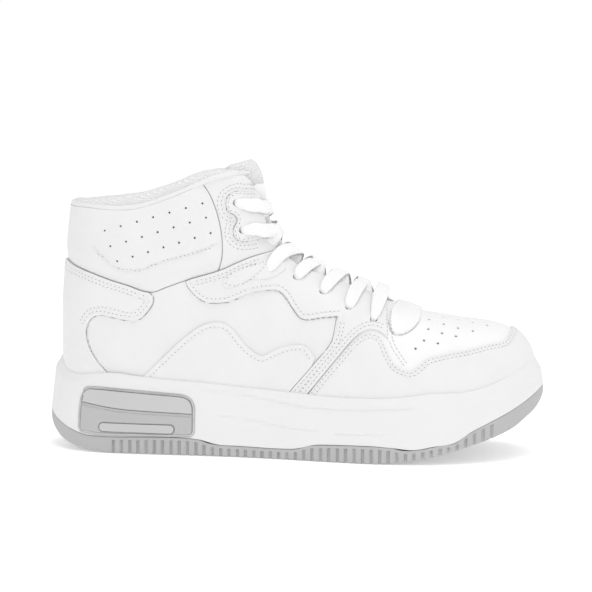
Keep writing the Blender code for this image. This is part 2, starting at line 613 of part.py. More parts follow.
def add_panel(name, grid, polygons, layer, finish, narrow):
    """A panel cut from the grid, half a seam gap inside its outlines."""
    def field(places):
        return outline_distance(places, polygons) - SEAM_GAP

    if narrow:
        grid = refined_near(*grid, field, REFINE_REACH)
    points, normals, charts, triangles = clip_grid(*grid, field)
    same = weld_index(points)
    triangles = same[triangles]
    distinct = ((triangles[:, 0] != triangles[:, 1]) & (triangles[:, 1] != triangles[:, 2])
                & (triangles[:, 0] != triangles[:, 2]))
    return add_object(name, *thickened(points, normals, triangles[distinct], *layer), finish)


# ------------------------------------------------------------------ sole unit
def ring(xs, lateral, medial, height, shrink=0.0):
    """Points round a plan outline: the lateral side from heel to toe, then the medial side back."""
    outer = np.stack([xs, lateral(xs), height(xs)], axis=1)
    inner = np.stack([xs, medial(xs), height(xs)], axis=1)[1:-1][::-1]
    loop = np.vstack([outer, inner])
    if shrink:
        loop = inset_ring(loop, shrink)
    return loop


def inset_ring(loop, distance):
    """Moves a ring's points inwards, square to the ring seen from above."""
    ahead, behind = np.roll(loop, -1, axis=0), np.roll(loop, 1, axis=0)
    tangent = (ahead - behind)[:, :2]
    tangent /= np.linalg.norm(tangent, axis=1, keepdims=True)
    moved = loop.copy()
    moved[:, 0] -= tangent[:, 1] * distance
    moved[:, 1] += tangent[:, 0] * distance
    return moved


def lofted(loops, name, finish, origin=(0.0, 0.0, 0.0)):
    """A closed body through rings of equal point count; both ends are closed by ladders."""
    count = len(loops[0])
    half = count // 2
    faces = []
    for level in range(len(loops) - 1):
        for i in range(count):
            j = (i + 1) % count
            a, b = level * count + i, level * count + j
            faces.append((a, b, b + count, a + count))
    for level, turned in ((0, True), (len(loops) - 1, False)):
        base = level * count
        for i in range(half):
            outer = (base + i, base + i + 1)
            inner = (base + (count - i - 1) % count, base + (count - i) % count)
            corners = [outer[0], outer[1], inner[0], inner[1]]
            face = [c for n, c in enumerate(corners) if c not in corners[:n]]
            faces.append(tuple(face[::-1] if turned else face))
    return add_object(name, np.vstack(loops), faces, finish, origin)


def form_level(xs, height, offset):
    """A ring round the form at a height given along the foot, moved outwards by the offset."""
    tips = []
    for x in xs:
        level = float(height(x))
        near_toe = np.linspace(100.0, TOE_X, 400)
        above = near_toe[ridge_height(near_toe) >= level]
        tips.append(above[-1] if len(above) else 100.0)
    blend = smoothstep(60.0, TOE_X, xs)
    moved = xs - blend * (TOE_X - np.array(tips)) * (xs / TOE_X)
    moved = np.minimum(moved, np.array(tips))
    halves = []
    for side in (-1.0, 1.0):
        mark = side_mark(moved, height(xs), side)
        halves.append(form_point(moved, mark[:, 1]))
    halves[0][:, 2] = halves[1][:, 2] = height(xs)
    for end in (0, -1):
        halves[1][end] = halves[0][end]
        halves[0][end, 1] = ridge_offset(moved[end])
    loop = np.vstack([halves[0], halves[1][1:-1][::-1]])
    return inset_ring(loop, -offset)


def add_outsole(sole_x, floor_height, finish):
    """The tray of rubber: its edge band, its ground face and the floor the midsole stands on."""
    inset, rise = OUTSOLE_BEVEL
    lofted([ring(sole_x, sole_lateral, sole_medial, sole_bottom, inset),
            ring(sole_x, sole_lateral, sole_medial, lambda x: sole_bottom(x) + rise),
            ring(sole_x, sole_lateral, sole_medial, outsole_edge),
            ring(sole_x, sole_lateral, sole_medial, outsole_edge, OUTSOLE_BAND),
            ring(sole_x, sole_lateral, sole_medial, floor_height, OUTSOLE_BAND)],
           "outsole", finish)


def add_plate(name, xs, half_widths, upper, lower, finish):
    """A flat bar along the foot, from its upper and lower heights."""
    corners = [np.stack([xs, -half_widths, upper], 1), np.stack([xs, half_widths, upper], 1),
               np.stack([xs, half_widths, lower], 1), np.stack([xs, -half_widths, lower], 1)]
    count = len(xs)
    faces = []
    for i in range(count - 1):
        for side in range(4):
            a, b = side * count + i, ((side + 1) % 4) * count + i
            faces.append((a, b, b + 1, a + 1))
    faces += [(0, 3 * count, 2 * count, count),
              (count - 1, 2 * count - 1, 3 * count - 1, 4 * count - 1)]
    return add_object(name, np.vstack(corners), faces, finish)


def add_shank(midsole, cup_floor, finish):
    """The shank plate, and the pocket it lies in, cut into the midsole."""
    xs = np.linspace(*SHANK_X, SHANK_MARKS)
    half = np.full(SHANK_MARKS, SHANK_HALF_WIDTH)
    top = cup_floor(xs) - PART_GAP
    add_plate("shank", xs, half, top, top - SHANK_THICKNESS, finish)
    pocket_x = xs.copy()
    pocket_x[0] -= PART_GAP
    pocket_x[-1] += PART_GAP
    pocket = add_plate("shank_pocket", pocket_x, half + PART_GAP, top + SHANK_POCKET_RISE,
                       top - SHANK_THICKNESS - PART_GAP, finish)
    pocket.hide_render = True
    pocket.display_type = 'WIRE'
    cut = midsole.modifiers.new("shank pocket", 'BOOLEAN')
    cut.object = pocket
    cut.operation = 'DIFFERENCE'
    cut.solver = 'EXACT'


def add_sole_unit(rubber, foam, insert_finish, board_finish, shank_finish, liner_finish):
    """Outsole, midsole cup, shank, insole board, sock liner and the two heel inserts."""
    sole_x = stations(sole_outline, SOLE_HEEL_X, SOLE_TOE[0], GRID_COLUMNS)
    upper_x = stations(upper_outline, HEEL_X, TOE_X, GRID_COLUMNS)

    def floor_height(x):
        return np.minimum(sole_bottom(x) + OUTSOLE_FLOOR, outsole_edge(x) - OUTSOLE_FLOOR_DROP)

    def above_edge(x):
        return outsole_edge(x) + PART_GAP

    def cup_floor(x):
        return board_height(x) - BOARD_THICKNESS - 2 * PART_GAP

    def cup_middle(x):
        return (lip_height(x) + board_height(x)) / 2

    def below_lip(x):
        return lip_height(x) - SHOULDER_DROP

    add_outsole(sole_x, floor_height, rubber)

    wall_foot = ring(sole_x, sole_lateral, sole_medial, above_edge)
    lip_outer = form_level(upper_x, lip_height, CUP_CLEARANCE + LIP_WIDTH)
    shoulder = form_level(upper_x, below_lip, CUP_CLEARANCE + LIP_WIDTH)
    shoulder = shoulder * SHOULDER_SHARE + wall_foot * (1 - SHOULDER_SHARE)
    shoulder[:, 2] = lip_outer[:, 2] - SHOULDER_DROP
    midsole = lofted([
        ring(sole_x, sole_lateral, sole_medial, lambda x: floor_height(x) + PART_GAP,
             OUTSOLE_BAND + PART_GAP),
        ring(sole_x, sole_lateral, sole_medial, above_edge, OUTSOLE_BAND + PART_GAP),
        wall_foot, shoulder, lip_outer,
        form_level(upper_x, lip_height, CUP_CLEARANCE),
        form_level(upper_x, cup_middle, CUP_CLEARANCE + CUP_BULGE),
        inset_ring(ring(upper_x, upper_lateral, upper_medial, cup_floor), -CUP_CLEARANCE)],
        "midsole", foam)
    add_shank(midsole, cup_floor, shank_finish)

    board_rim = ring(upper_x, upper_lateral, upper_medial, lambda x: board_height(x) - PART_GAP,
                     BOARD_INSET)
    lofted([board_rim - (0.0, 0.0, BOARD_THICKNESS), board_rim], "insole_board", board_finish)

    liner_rim = ring(upper_x, upper_lateral, upper_medial, lambda x: board_height(x) + PART_GAP,
                     LINER_INSET)
    toe_end = liner_rim[np.argmax(liner_rim[:, 0])]
    lofted([liner_rim, liner_rim + (0.0, 0.0, LINER_THICKNESS)], "sock_liner", liner_finish,
           origin=tuple(toe_end))

    for side, label in ((-1.0, "lateral"), (1.0, "medial")):
        add_heel_insert("heel_insert_" + label, side, wall_foot, shoulder, insert_finish)


def add_heel_insert(name, side, low_ring, high_ring, finish):
    """The moulded panel that lies on the midsole wall beside the heel."""
    count = len(low_ring) // 2

    def half(loop):
        return loop[:count + 1] if side < 0 else np.vstack([loop[:1], loop[count:][::-1]])

    low, high = half(low_ring), half(high_ring)
    corners = np.array(HEEL_INSERT)
    centre = corners.mean(axis=0)
    flat = np.vstack([corners, centre + (corners - centre) * INSERT_CORE, centre[None]])

    def on_wall(x, z):
        a = np.array([np.interp(x, low[:, 0], low[:, k]) for k in range(3)])
        b = np.array([np.interp(x, high[:, 0], high[:, k]) for k in range(3)])
        t = (z - a[2]) / (b[2] - a[2])
        return a + (b - a) * t

    wall = np.array([on_wall(x, z) for x, z in flat])
    steps = np.array([on_wall(x + 1, z) for x, z in flat]) - wall
    rises = np.array([on_wall(x, z + 1) for x, z in flat]) - wall
    normal = np.cross(steps, rises) * -side
    normal /= np.linalg.norm(normal, axis=1, keepdims=True)
    size = len(corners)
    triangles = []
    for i in range(size):
        j = (i + 1) % size
        triangles += [(i, size + i, j), (j, size + i, size + j), (size + i, 2 * size, size + j)]
    triangles = np.array(triangles)
    first = wall[triangles[0]]
    if np.dot(np.cross(first[1] - first[0], first[2] - first[0]), normal[0]) < 0:
        triangles = triangles[:, ::-1]
    return add_object(name, *thickened(wall, normal, triangles, *INSERT_LAYER), finish)


# ------------------------------------------------------------------ collar binding, tongue, lace
def add_collar_binding(finish):
    """A rolled strip that closes the top of the collar, from one side of the lacing to the other."""
    xs = stations(upper_outline, HEEL_X, TOE_X, GRID_COLUMNS)
    xs = np.append(xs[xs < BINDING_END_X - 2], BINDING_END_X)
    depth, rise = profile(BINDING_DEPTH)(xs), profile(BINDING_RISE)(xs)
    path = []
    for side in (-1.0, 1.0):
        girth = side * topline_girth(xs)
        here = form_point(xs, girth)
        along = form_point(xs + 0.5, girth) - here
        up = form_point(xs, girth - side) - here
        normal = np.cross(along, up) * -side
        normal /= np.linalg.norm(normal, axis=1, keepdims=True)
        normal[0] = (-1, 0, 0)
        path.append((here, normal))
    place = np.vstack([path[0][0][::-1], path[1][0][1:]])
    normal = np.vstack([path[0][1][::-1], path[1][1][1:]])
    depth, rise = (np.concatenate([size[::-1], size[1:]]) for size in (depth, rise))
    count = len(BINDING_SECTION)
    points = [p + n * (BINDING_OUT - deep * across) + np.array([0, 0, BINDING_FOOT + high * up])
              for p, n, deep, high in zip(place, normal, depth, rise)
              for across, up in BINDING_SECTION]
    faces = []
    for i in range(len(place) - 1):
        for j in range(count):
            a, b = i * count + j, i * count + (j + 1) % count
            faces.append((a, b, b + count, a + count))
    faces.append(tuple(range(count)))
    faces.append(tuple(range(len(points) - count, len(points)))[::-1])
    return add_object("collar_binding", points, faces, finish)


def form_width(x, z, side):
    """Distance from the ridge plane to the form at a place in side view."""
    mark = side_mark(x, z, side)
    return np.abs(form_point(mark[..., 0], mark[..., 1])[..., 1] - ridge_offset(mark[..., 0]))


def tongue_grid():
    """Stations, distances from the ridge and places of the tongue's outer face, row by row."""
    share = np.linspace(-1, 1, TONGUE_COLUMNS + 1)
    top = TONGUE_TOP_X - TONGUE_TOP_SWEEP * share ** 2
    up = np.linspace(0, 1, TONGUE_ROWS + 1)[:, None]
    xs = (TONGUE_BASE_X * (1 - up) + top * up).ravel()
    across = np.tile(share, TONGUE_ROWS + 1) * profile(TONGUE_HALF_WIDTH)(xs)
    slope = ridge_height(xs + 0.5) - ridge_height(xs - 0.5)
    inward = np.stack([slope, -np.ones_like(slope)], axis=1) / np.hypot(slope, 1.0)[:, None]
    side = np.where(across < 0, -1.0, 1.0)
    low, high = np.zeros_like(xs), np.full_like(xs, 60.0)
    for _ in range(30):
        middle = (low + high) / 2
        wide = form_width(xs + inward[:, 0] * middle, ridge_height(xs) + inward[:, 1] * middle, side)
        short = wide < np.abs(across)
        low, high = np.where(short, middle, low), np.where(short, high, middle)
    points = np.stack([xs + inward[:, 0] * low, ridge_offset(xs) + across,
                       ridge_height(xs) + inward[:, 1] * low], axis=1)
    return xs, np.abs(across), points


def add_tongue(face_finish, foam_finish, lining_finish):
    """Three layers of the padded tongue, all turning on the seam at its base."""
    xs, across, points = tongue_grid()
    columns = TONGUE_COLUMNS + 1
    triangles = []
    for i in range(TONGUE_ROWS):
        for j in range(TONGUE_COLUMNS):
            a = i * columns + j
            b, c, d = a + 1, a + columns + 1, a + columns
            triangles += [(a, b, c), (a, c, d)] if j < columns // 2 else [(a, b, d), (b, c, d)]
    triangles = np.array(triangles)
    normals = vertex_normals(points, triangles)
    if normals[columns // 2, 2] < 0:
        triangles, normals = triangles[:, ::-1], -normals
    fade = smoothstep(*TONGUE_HUMP, across)
    offset = profile(TONGUE_CENTRE_OFFSET)(xs) * (1 - fade) + profile(TONGUE_EDGE_OFFSET)(xs) * fade
    surface = points + normals * offset[:, None]
    normals = vertex_normals(surface, triangles)
    for name, layer, finish in (("tongue_face", TONGUE_FACE, face_finish),
                                ("tongue_foam", TONGUE_FOAM, foam_finish),
                                ("tongue_lining", TONGUE_LINING, lining_finish)):
        add_object(name, *thickened(surface, normals, triangles, *layer), finish, TONGUE_AXIS)


def form_normal(x, girth):
    """Outward direction square to the form."""
    along = form_point(x + 0.5, girth) - form_point(x - 0.5, girth)
    up = form_point(x, girth + 0.5) - form_point(x, girth - 0.5)
    normal = np.cross(along, up)
    return normal / np.linalg.norm(normal, axis=1, keepdims=True)


def add_lace(finish):
    """One flat lace: a run over the tongue for each pair of eyelets, joined along the eyestays."""
    path, lifts = [], []
    for row, (x, z) in enumerate(EYELETS):
        station, tip = side_mark(x, z, 1.0)
        share = np.linspace(-1, 1, LACE_STEPS + 1) * (1 if row % 2 else -1)
        path.append(np.stack([station + LACE_LEAN * (1 - share ** 2), share * tip], axis=1))
        lifts.append(LACE_END_LIFT + LACE_CREST * smoothstep(0.0, 0.5, 1 - np.abs(share)))
    path, lifts = np.vstack(path), np.concatenate(lifts)
    normal = form_normal(path[:, 0], path[:, 1])
    centre = form_point(path[:, 0], path[:, 1]) + normal * lifts[:, None]
    tangent = np.gradient(centre, axis=0)
    across = np.cross(normal, tangent)
    across /= np.linalg.norm(across, axis=1, keepdims=True)
    half_wide, half_thick = LACE_WIDTH / 2, LACE_THICKNESS / 2
    section = [(-half_wide, 0), (-half_wide * 0.6, half_thick), (half_wide * 0.6, half_thick),
               (half_wide, 0), (half_wide * 0.6, -half_thick), (-half_wide * 0.6, -half_thick)]
    size = len(section)
    points = [c + a * wide + n * thick for c, a, n in zip(centre, across, normal)
              for wide, thick in section]
    faces = []
    for i in range(len(centre) - 1):
        for j in range(size):
            a, b = i * size + j, i * size + (j + 1) % size
            faces.append((a, b, b + size, a + size))
    faces += [tuple(range(size)), tuple(range(len(points) - size, len(points)))[::-1]]
    return add_object("lace", points, faces, finish)


# ------------------------------------------------------------------ the shoe
def build():
    """Clears the scene and adds every part of the shoe."""
    for old in list(bpy.data.objects):
        bpy.data.objects.remove(old, do_unlink=True)
    leather = material("white_leather", WHITE, 0.45)
    lace_white = material("white_lace", WHITE, 0.8)
    mesh_white = material("lining_mesh", OFF_WHITE, 0.9)
    foam = material("white_midsole_foam", WHITE, 0.55)
    rubber = material("grey_rubber", GREY, 0.6)
    insert = material("grey_insert", LIGHT_GREY, 0.5)
    board = material("board_fibre", TAN, 0.9)
    padding = material("cream_foam", FOAM_CREAM, 0.9)
    stiff = material("stiffener", OFF_WHITE, 0.7)
    plate = material("shank_plate", DARK_GREY, 0.5)

    points, charts, triangles = form_grid(GRID_COLUMNS, GRID_ROWS)
    grid = (points, vertex_normals(points, triangles), charts, triangles)
    panels = panel_outlines()
    layers = {"lace_tab": (TAB_LAYER, leather), "throat_patch": (PATCH_LAYER, leather),
              "eyestay_backing": (STIFFENER_LAYER, stiff), "heel_counter": (STIFFENER_LAYER, stiff),
              "toe_puff": (STIFFENER_LAYER, stiff), "vamp_lining": (LINING_LAYER, mesh_white),
              "quarter_lining": (LINING_LAYER, mesh_white), "collar_foam": (FOAM_LAYER, padding),
              "collar_lining": (COLLAR_LINING_LAYER, mesh_white),
              "eyestay": (OVERLAY_LAYER, leather), "wave_overlay": (OVERLAY_LAYER, leather),
              "heel_overlay": (OVERLAY_LAYER, leather), "mudguard": (OVERLAY_LAYER, leather)}
    for name, polygons in panels.items():
        key = name if name in layers else name.rsplit("_", 1)[0]
        layer, finish = layers.get(key, (BASE_LAYER, leather))
        add_panel(name, grid, polygons, layer, finish, narrow=key in ("eyestay", "lace_tab"))
    add_sole_unit(rubber, foam, insert, board, plate, mesh_white)
    add_collar_binding(leather)
    add_tongue(leather, padding, mesh_white)
    add_lace(lace_white)


build()
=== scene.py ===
"""The visible surface of a white basketball high top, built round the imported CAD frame.

The upper is made on the same shoe form as the CAD: a place on it is a pair (station, girth), where
station is the distance along the foot and girth runs from -100 at the outer edge of the insole
board, over the ridge at 0, to +100 at the inner edge. Each leather panel is an outline on the form,
cut from a fine grid, given a thickness with rounded edges, sewn with thread and pierced by its
holes. Design values are in millimetres.
"""

import math

import bpy
import numpy as np
from mathutils import Matrix, Vector
from mathutils.bvhtree import BVHTree
from mathutils.kdtree import KDTree


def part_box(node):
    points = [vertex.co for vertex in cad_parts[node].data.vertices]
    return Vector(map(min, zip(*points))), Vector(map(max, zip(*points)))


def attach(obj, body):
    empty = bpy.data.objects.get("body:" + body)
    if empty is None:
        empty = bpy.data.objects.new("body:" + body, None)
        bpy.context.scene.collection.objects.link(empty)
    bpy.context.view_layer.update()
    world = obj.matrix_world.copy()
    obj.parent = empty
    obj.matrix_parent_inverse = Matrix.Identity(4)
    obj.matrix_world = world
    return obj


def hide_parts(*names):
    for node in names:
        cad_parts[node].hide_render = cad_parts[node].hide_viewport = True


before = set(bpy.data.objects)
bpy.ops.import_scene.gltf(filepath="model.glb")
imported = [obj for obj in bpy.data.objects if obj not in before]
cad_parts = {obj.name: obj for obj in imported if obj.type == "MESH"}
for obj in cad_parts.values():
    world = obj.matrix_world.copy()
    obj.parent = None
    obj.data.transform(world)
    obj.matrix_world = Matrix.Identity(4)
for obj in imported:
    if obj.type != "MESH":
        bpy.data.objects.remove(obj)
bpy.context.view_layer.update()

MM = 0.001

# ------------------------------------------------------------------ the form's dimensions
HEEL_X = -139.5
TOE_X = 140.5
TOE_Y = 5.0
FRONT_X = -25.5
GIRTH_END = 100.0
CUP_CLEARANCE = 2.2
LIP_WIDTH = 2.2

UPPER_PLAN_LATERAL = [(-136, -14), (-125, -25.5), (-108, -31), (-80, -33), (-45, -34), (-10, -37),
                      (25, -43), (50, -46), (75, -45.5), (98, -40), (117, -31), (131, -19), (139, -6)]
UPPER_PLAN_MEDIAL = [(-137.5, 9), (-131, 20), (-118, 27.5), (-95, 30.5), (-65, 30), (-30, 30),
                     (5, 33), (35, 40), (60, 44.5), (85, 44.5), (106, 39.5), (124, 30), (136, 17)]
SOLE_PLAN_LATERAL = [(-143.5, -16), (-131, -29.5), (-110, -36.5), (-80, -38.5), (-45, -39.5),
                     (-10, -43), (25, -49.5), (50, -52.5), (75, -52), (100, -46), (120, -36),
                     (135, -23), (144, -9)]
SOLE_PLAN_MEDIAL = [(-145.5, 11), (-137.5, 24), (-120, 33.5), (-95, 36), (-65, 34.5), (-30, 34.5),
                    (5, 38), (35, 46), (60, 51), (85, 51), (108, 46), (128, 36), (141, 21)]
SOLE_HEEL_X = -147.5
SOLE_TOE = (146.5, 6.0)

BOARD_HEIGHT = [(-140, 27), (-100, 27), (-60, 25), (-20, 20.5), (10, 18), (45, 17), (80, 19),
                (100, 21.5), (115, 24.5), (125, 27.5), (132, 30.5), (137, 33), (141, 35)]
RIDGE_HEIGHT = [(-140, 268), (-120, 262), (-100, 252), (-80, 236), (-60, 216), (-45, 197),
                (-36, 183), (-30, 172), (-26, 163.5), (-23.4, 157.3), (-21, 150), (-17.5, 140.5),
                (-13, 130.5), (-7, 122.2), (0, 115), (11, 109), (28, 101.5), (48, 94), (60, 88),
                (73, 84), (82, 82.5), (91, 81.3), (100, 80), (114, 78.3), (120, 77), (126, 74.6),
                (131, 71.5), (136, 66), (139, 60.5), (141, 53)]
RIDGE_OFFSET = [(-140, 0), (-40, 0), (40, 2), (100, 4), (140.5, 5)]
SECTION_POWER = [(-140, 3.2), (-70, 3.2), (-30, 2.5), (0, 2.3), (60, 2.35), (141, 2.35)]
TOPLINE_HEIGHT = [(-141, 144), (-126, 143.2), (-110, 142.5), (-97, 143.6), (-86, 146.6), (-70, 151.8),
                  (-52, 158.5), (-42, 161.2), (-34, 162.6), (-25, 163)]
HEEL_LEAN_START = 85.0
HEEL_LEAN = 5.5
HEEL_LEAN_SPAN = 65.0
HEEL_LEAN_POWER = 1.3
HEEL_LEAN_FADE = (-120.0, -40.0)
SOLE_BOTTOM = [(-148, 19), (-146, 15), (-143, 11.4), (-138, 7.4), (-131, 4), (-122, 1.5),
               (-112, 0.3), (-103, 0), (50, 0), (62, 1), (73, 2.5), (85, 5), (95, 7.6), (103, 10),
               (119, 15.2), (129, 19.6), (136, 24.5), (142, 29.2), (147, 36)]
OUTSOLE_EDGE = [(-148, 24), (-143, 19.5), (-132, 13.5), (-121, 10.2), (-110, 9.7), (-55, 9.9),
                (-46, 7.4), (-29, 6.6), (4, 6.7), (12, 9.1), (58, 9.9), (66, 8.4), (76, 9.2),
                (88, 11.6), (95, 12.6), (101, 16.6), (109, 21), (118, 25), (127, 29.4),
                (136, 34.5), (147, 42)]
LIP_HEIGHT = [(-140, 55), (-136, 50), (-131, 46.5), (-122, 45.5), (-107, 47.2), (-85, 45.1),
              (-48, 42.6), (-28, 41), (1, 39.2), (28, 37.6), (60, 38.2), (81, 41), (98, 41.4),
              (108, 43.3), (121, 48), (131, 53.5), (141, 58)]

# ------------------------------------------------------------------ seams in side view: (x, z)
COLLAR_SEAM = [(-146, 112), (-137, 111.6), (-130, 108.6), (-118, 104.6), (-106, 100.7),
               (-96, 97.9), (-87, 94.9), (-81, 94.5), (-74, 97.2), (-60, 102.3), (-42, 107.8),
               (-32, 112.4), (-23, 116), (-11, 119.2)]
FACING_SEAM = [(-55, 163), (-52.5, 157.5), (-48.5, 151), (-44.6, 141.5), (-41.8, 130), (-41, 122),
               (-41.2, 114.8), (-43.5, 106)]
HEEL_OVERLAY_FRONT = [(-84, 94.6), (-81.3, 92), (-81, 89), (-83, 85), (-88.5, 79), (-92, 77.7),
                      (-98, 78), (-105, 79.4), (-112, 80.4), (-117, 79), (-120.5, 74.5),
                      (-121.5, 69), (-119.5, 61), (-114.5, 53), (-107, 45), (-101, 37)]
WAVE_TOP = [(-94, 37), (-86, 45.7), (-75, 56.7), (-66, 65.5), (-59, 71.4), (-51.5, 76.2),
            (-44.5, 78), (-38.5, 77.2), (-34, 74), (-29, 67.8), (-23, 62.2), (-17, 59),
            (-12.5, 61), (-6.5, 63.7), (2, 65.8), (8.5, 65.2), (14.5, 58.5)]
LEG_REAR = [(26.6, 80.6), (25.4, 72), (21.5, 64.5), (16.5, 58.5), (-0.6, 38.3), (-4, 34)]
LEG_FRONT = [(5.8, 33), (9, 36.4), (24.7, 56.2), (36, 69.8), (41, 73.6), (46, 75), (51, 73.6),
             (55.6, 70)]
EYESTAY_LOWER = [(-62, 101.2), (-60.5, 98), (-56.5, 93.4), (-50.5, 89.6), (-43.5, 89), (-37, 89.8),
                 (-24, 95), (-13.5, 96.6), (-8.5, 96.2), (-4.6, 93), (0.7, 85.7), (5, 81),
                 (9, 80.2), (18, 81.5), (26.6, 82.2)]
MUDGUARD_REAR = [(4, 30), (9.8, 36.9), (25.4, 56.2), (37.4, 69.8), (42, 72.4), (46.3, 73), (51.2, 71),
                 (54, 67), (57, 61), (60.5, 56), (64.5, 53.6), (69, 52.6), (73, 55), (78, 59),
                 (89, 61.8), (101, 63.7), (113, 66.3)]
MUDGUARD_TOE = [(121, -17), (125.5, -8), (126.8, 3.5), (125.5, 14), (121, 22.5)]
VAMP_REAR = [(2, 18), (10, 36), (20, 56), (25, 76), (27, 104)]
LACE_TAB_REAR = [(-24, 152.5), (-29, 152.8), (-34, 153.2), (-38.4, 150.6), (-39.6, 146.5),
                 (-38.2, 142), (-34.2, 139.6), (-32.8, 136.3), (-34.4, 133), (-35, 129.6),
                 (-33.6, 126.6), (-30.4, 124.8), (-26, 124.8), (-17, 126.5)]
PATCH_FRONT = [(56, 84.5), (56, 78), (58.6, 73), (63, 72.4), (68.5, 74.6), (72.3, 78)]
PATCH_CROWN = [(73.8, -15), (74.2, 3), (73.8, 19)]
PATCH_REAR = [(58.5, 14), (59.5, 3), (58.5, -8)]
COLLAR_LINING_EDGE = [(-141, 116), (-118, 108.5), (-96, 102), (-82, 99), (-60, 106), (-45, 113),
                      (-39.5, 122), (-41, 136), (-43.5, 148), (-47.5, 156), (-49.5, 165)]
QUARTER_LINING_TOP = [(-141, 110), (-118, 102.5), (-96, 96), (-82, 93), (-60, 99), (-42, 105),
                      (-34, 111), (-25, 115), (-15, 117)]
THROAT_PLAN = [(57.5, 0), (56, -7), (50, -11.5), (38, -12.5), (20, -13.5), (0, -14.5), (-12, -15.5),
               (-19, -16)]
THROAT_SIDE = [(-20.3, 142), (-22.6, 150), (-25, 156.8), (-27.5, 160.6), (-32, 164)]
LEAF = [(-40.6, 100.6), (-39, 103.8), (-35.1, 107.1), (-29, 109.6), (-22.9, 111.6), (-15, 113.6),
        (-8, 113), (-5.5, 109), (-8.3, 105.6), (-20.5, 102.7), (-32.1, 99), (-39.1, 98.3)]
COLLAR_QUILT = [(-117, 119.7), (-107.6, 111.2), (-100.5, 107.2), (-90, 107.4), (-75.9, 112.3),
                (-60.7, 116.6), (-43.2, 122.6)]
PATCH_STITCH = [(56.3, 86.7), (56.4, 78.6), (59.4, 67.7), (63.5, 61.5), (67, 56.9)]
EYELETS = [(-34, 146.5), (-30, 131), (-16, 109), (1, 103.5), (17, 95.4), (32.4, 87), (47, 80.4)]
COLLAR_HOLE_ROWS = [[(-110, 129.8), (-52.9, 146.4), 7], [(-106.5, 120.8), (-50.7, 138.2), 7],
                    [(-102.3, 112.2), (-47.9, 129.3), 7]]
VAMP_HOLES = [(71.7, 65.1), (76.4, 69.5), (78.6, 75.4), (78.8, 80), (78.4, 82.9), (84.4, 67.9),
              (86.6, 73.2), (87.5, 77.8), (86.8, 81), (94.7, 71.6), (95.8, 75.7), (95.7, 79.6),
              (104.4, 74.1), (104.3, 78.2), (112.7, 76.6)]

HEEL_INSERT = [(-121, 36.5), (-119, 37.6), (-111, 37.6), (-101, 37), (-63, 34.6), (-58.6, 33),
               (-56.6, 29), (-56.6, 12.2), (-77, 11.8), (-113, 11.6), (-124.5, 12.9), (-123.6, 29)]
INSERT_STEP = [(-123.4, 29.8), (-100.6, 26.6), (-57, 24.6)]
INSERT_SLOT = [(-109.6, 15.4), (-70, 15.2)]
SLOT_RADIUS = 2.8
MIDSOLE_LEDGE = [(-57.9, 38.9), (-38.2, 37.6), (-14.5, 34.7), (8.1, 31.1), (19.6, 30.5),
                 (63.6, 31.6), (76.7, 33.3)]
MIDSOLE_LINES = [[(-41.9, 23.9), (-27.4, 22.5), (-14.1, 21.1), (0.9, 18.5), (16.4, 17.8)],
                 [(27.3, 16.5), (54.8, 17.2)]]

# ------------------------------------------------------------------ how fine the surfaces are
COARSE_COLUMNS = 30
FORM_COLUMNS, FORM_ROWS = 290, 88
INNER_COLUMNS, INNER_ROWS = 140, 40
PLAN_STEPS = 24
FINE_MARKS = 200
TIP_REACH = 4.0
TIP_MARKS = 60
WALL_STEPS = 10
WALL_ROWS = 34
OUTSOLE_STEPS = 22
TONGUE_ROWS = 90
TONGUE_COLUMNS = 44

# ------------------------------------------------------------------ leather panels
SIDES = ((-1.0, "lateral"), (1.0, "medial"))
STATION_BEYOND = 20.0
GIRTH_BEYOND = 130.0
GIRTH_AT_RIDGE = 2.0
BOX_MARGIN = 8.0
FAR_OUTSIDE = -99.0
CLEAR_OF_ALL = 1000.0
SEAM_GAP = 0.1
EDGE_REACH = 3.0

# Each layer lies between two heights over the form.
BASE_LAYER = (-1.3, 0.0)
OVERLAY_LAYER = (0.03, 1.45)
TAB_LAYER = (0.03, 1.8)
PATCH_LAYER = (0.03, 1.9)
LEAF_LAYER = (1.0, 2.2)
LINING_LAYER = (-4.4, -3.1)
COLLAR_LINING_LAYER = (-9.3, -7.8)

# Distances from an edge, a hole, the quilting or a groove at which the mesh gets a line.
ROUND_LEVELS = (0.12, 0.35, 0.7, 1.1)
HOLE_REACHES = (1.6, 0.9)
HOLE_ROUND = 0.3
CREASE_LEVELS = (0.5, 1.2)
GROOVE_LEVELS = (0.25, 0.6)

CREASE_SHARE = 0.75
CREASE_WIDTH = 1.6
GROOVE_EDGE = (0.2, 0.6)
GROOVE_DEPTH = 0.9
GROOVE_FADE = 6.0
PATCH_GROOVE_TOP = 82.0

# ------------------------------------------------------------------ sewing and holes
STITCH_DIP = 0.14
STITCH_DIP_WIDTH = 0.5
STITCH_PITCH = 2.55
STITCH_HALF = 0.92
THREAD_SIDES = 6
THREAD_RADIUS = 0.30
TANGENT_REACH = 0.4
# A stitch's sections: place along it as a share of its half length, thickness, and height.
STITCH_SECTIONS = ((-1.0, 0.55, -0.42), (-0.8, 0.95, -0.05), (-0.3, 1.0, 0.12),
                   (0.3, 1.0, 0.12), (0.8, 0.95, -0.05), (1.0, 0.55, -0.42))
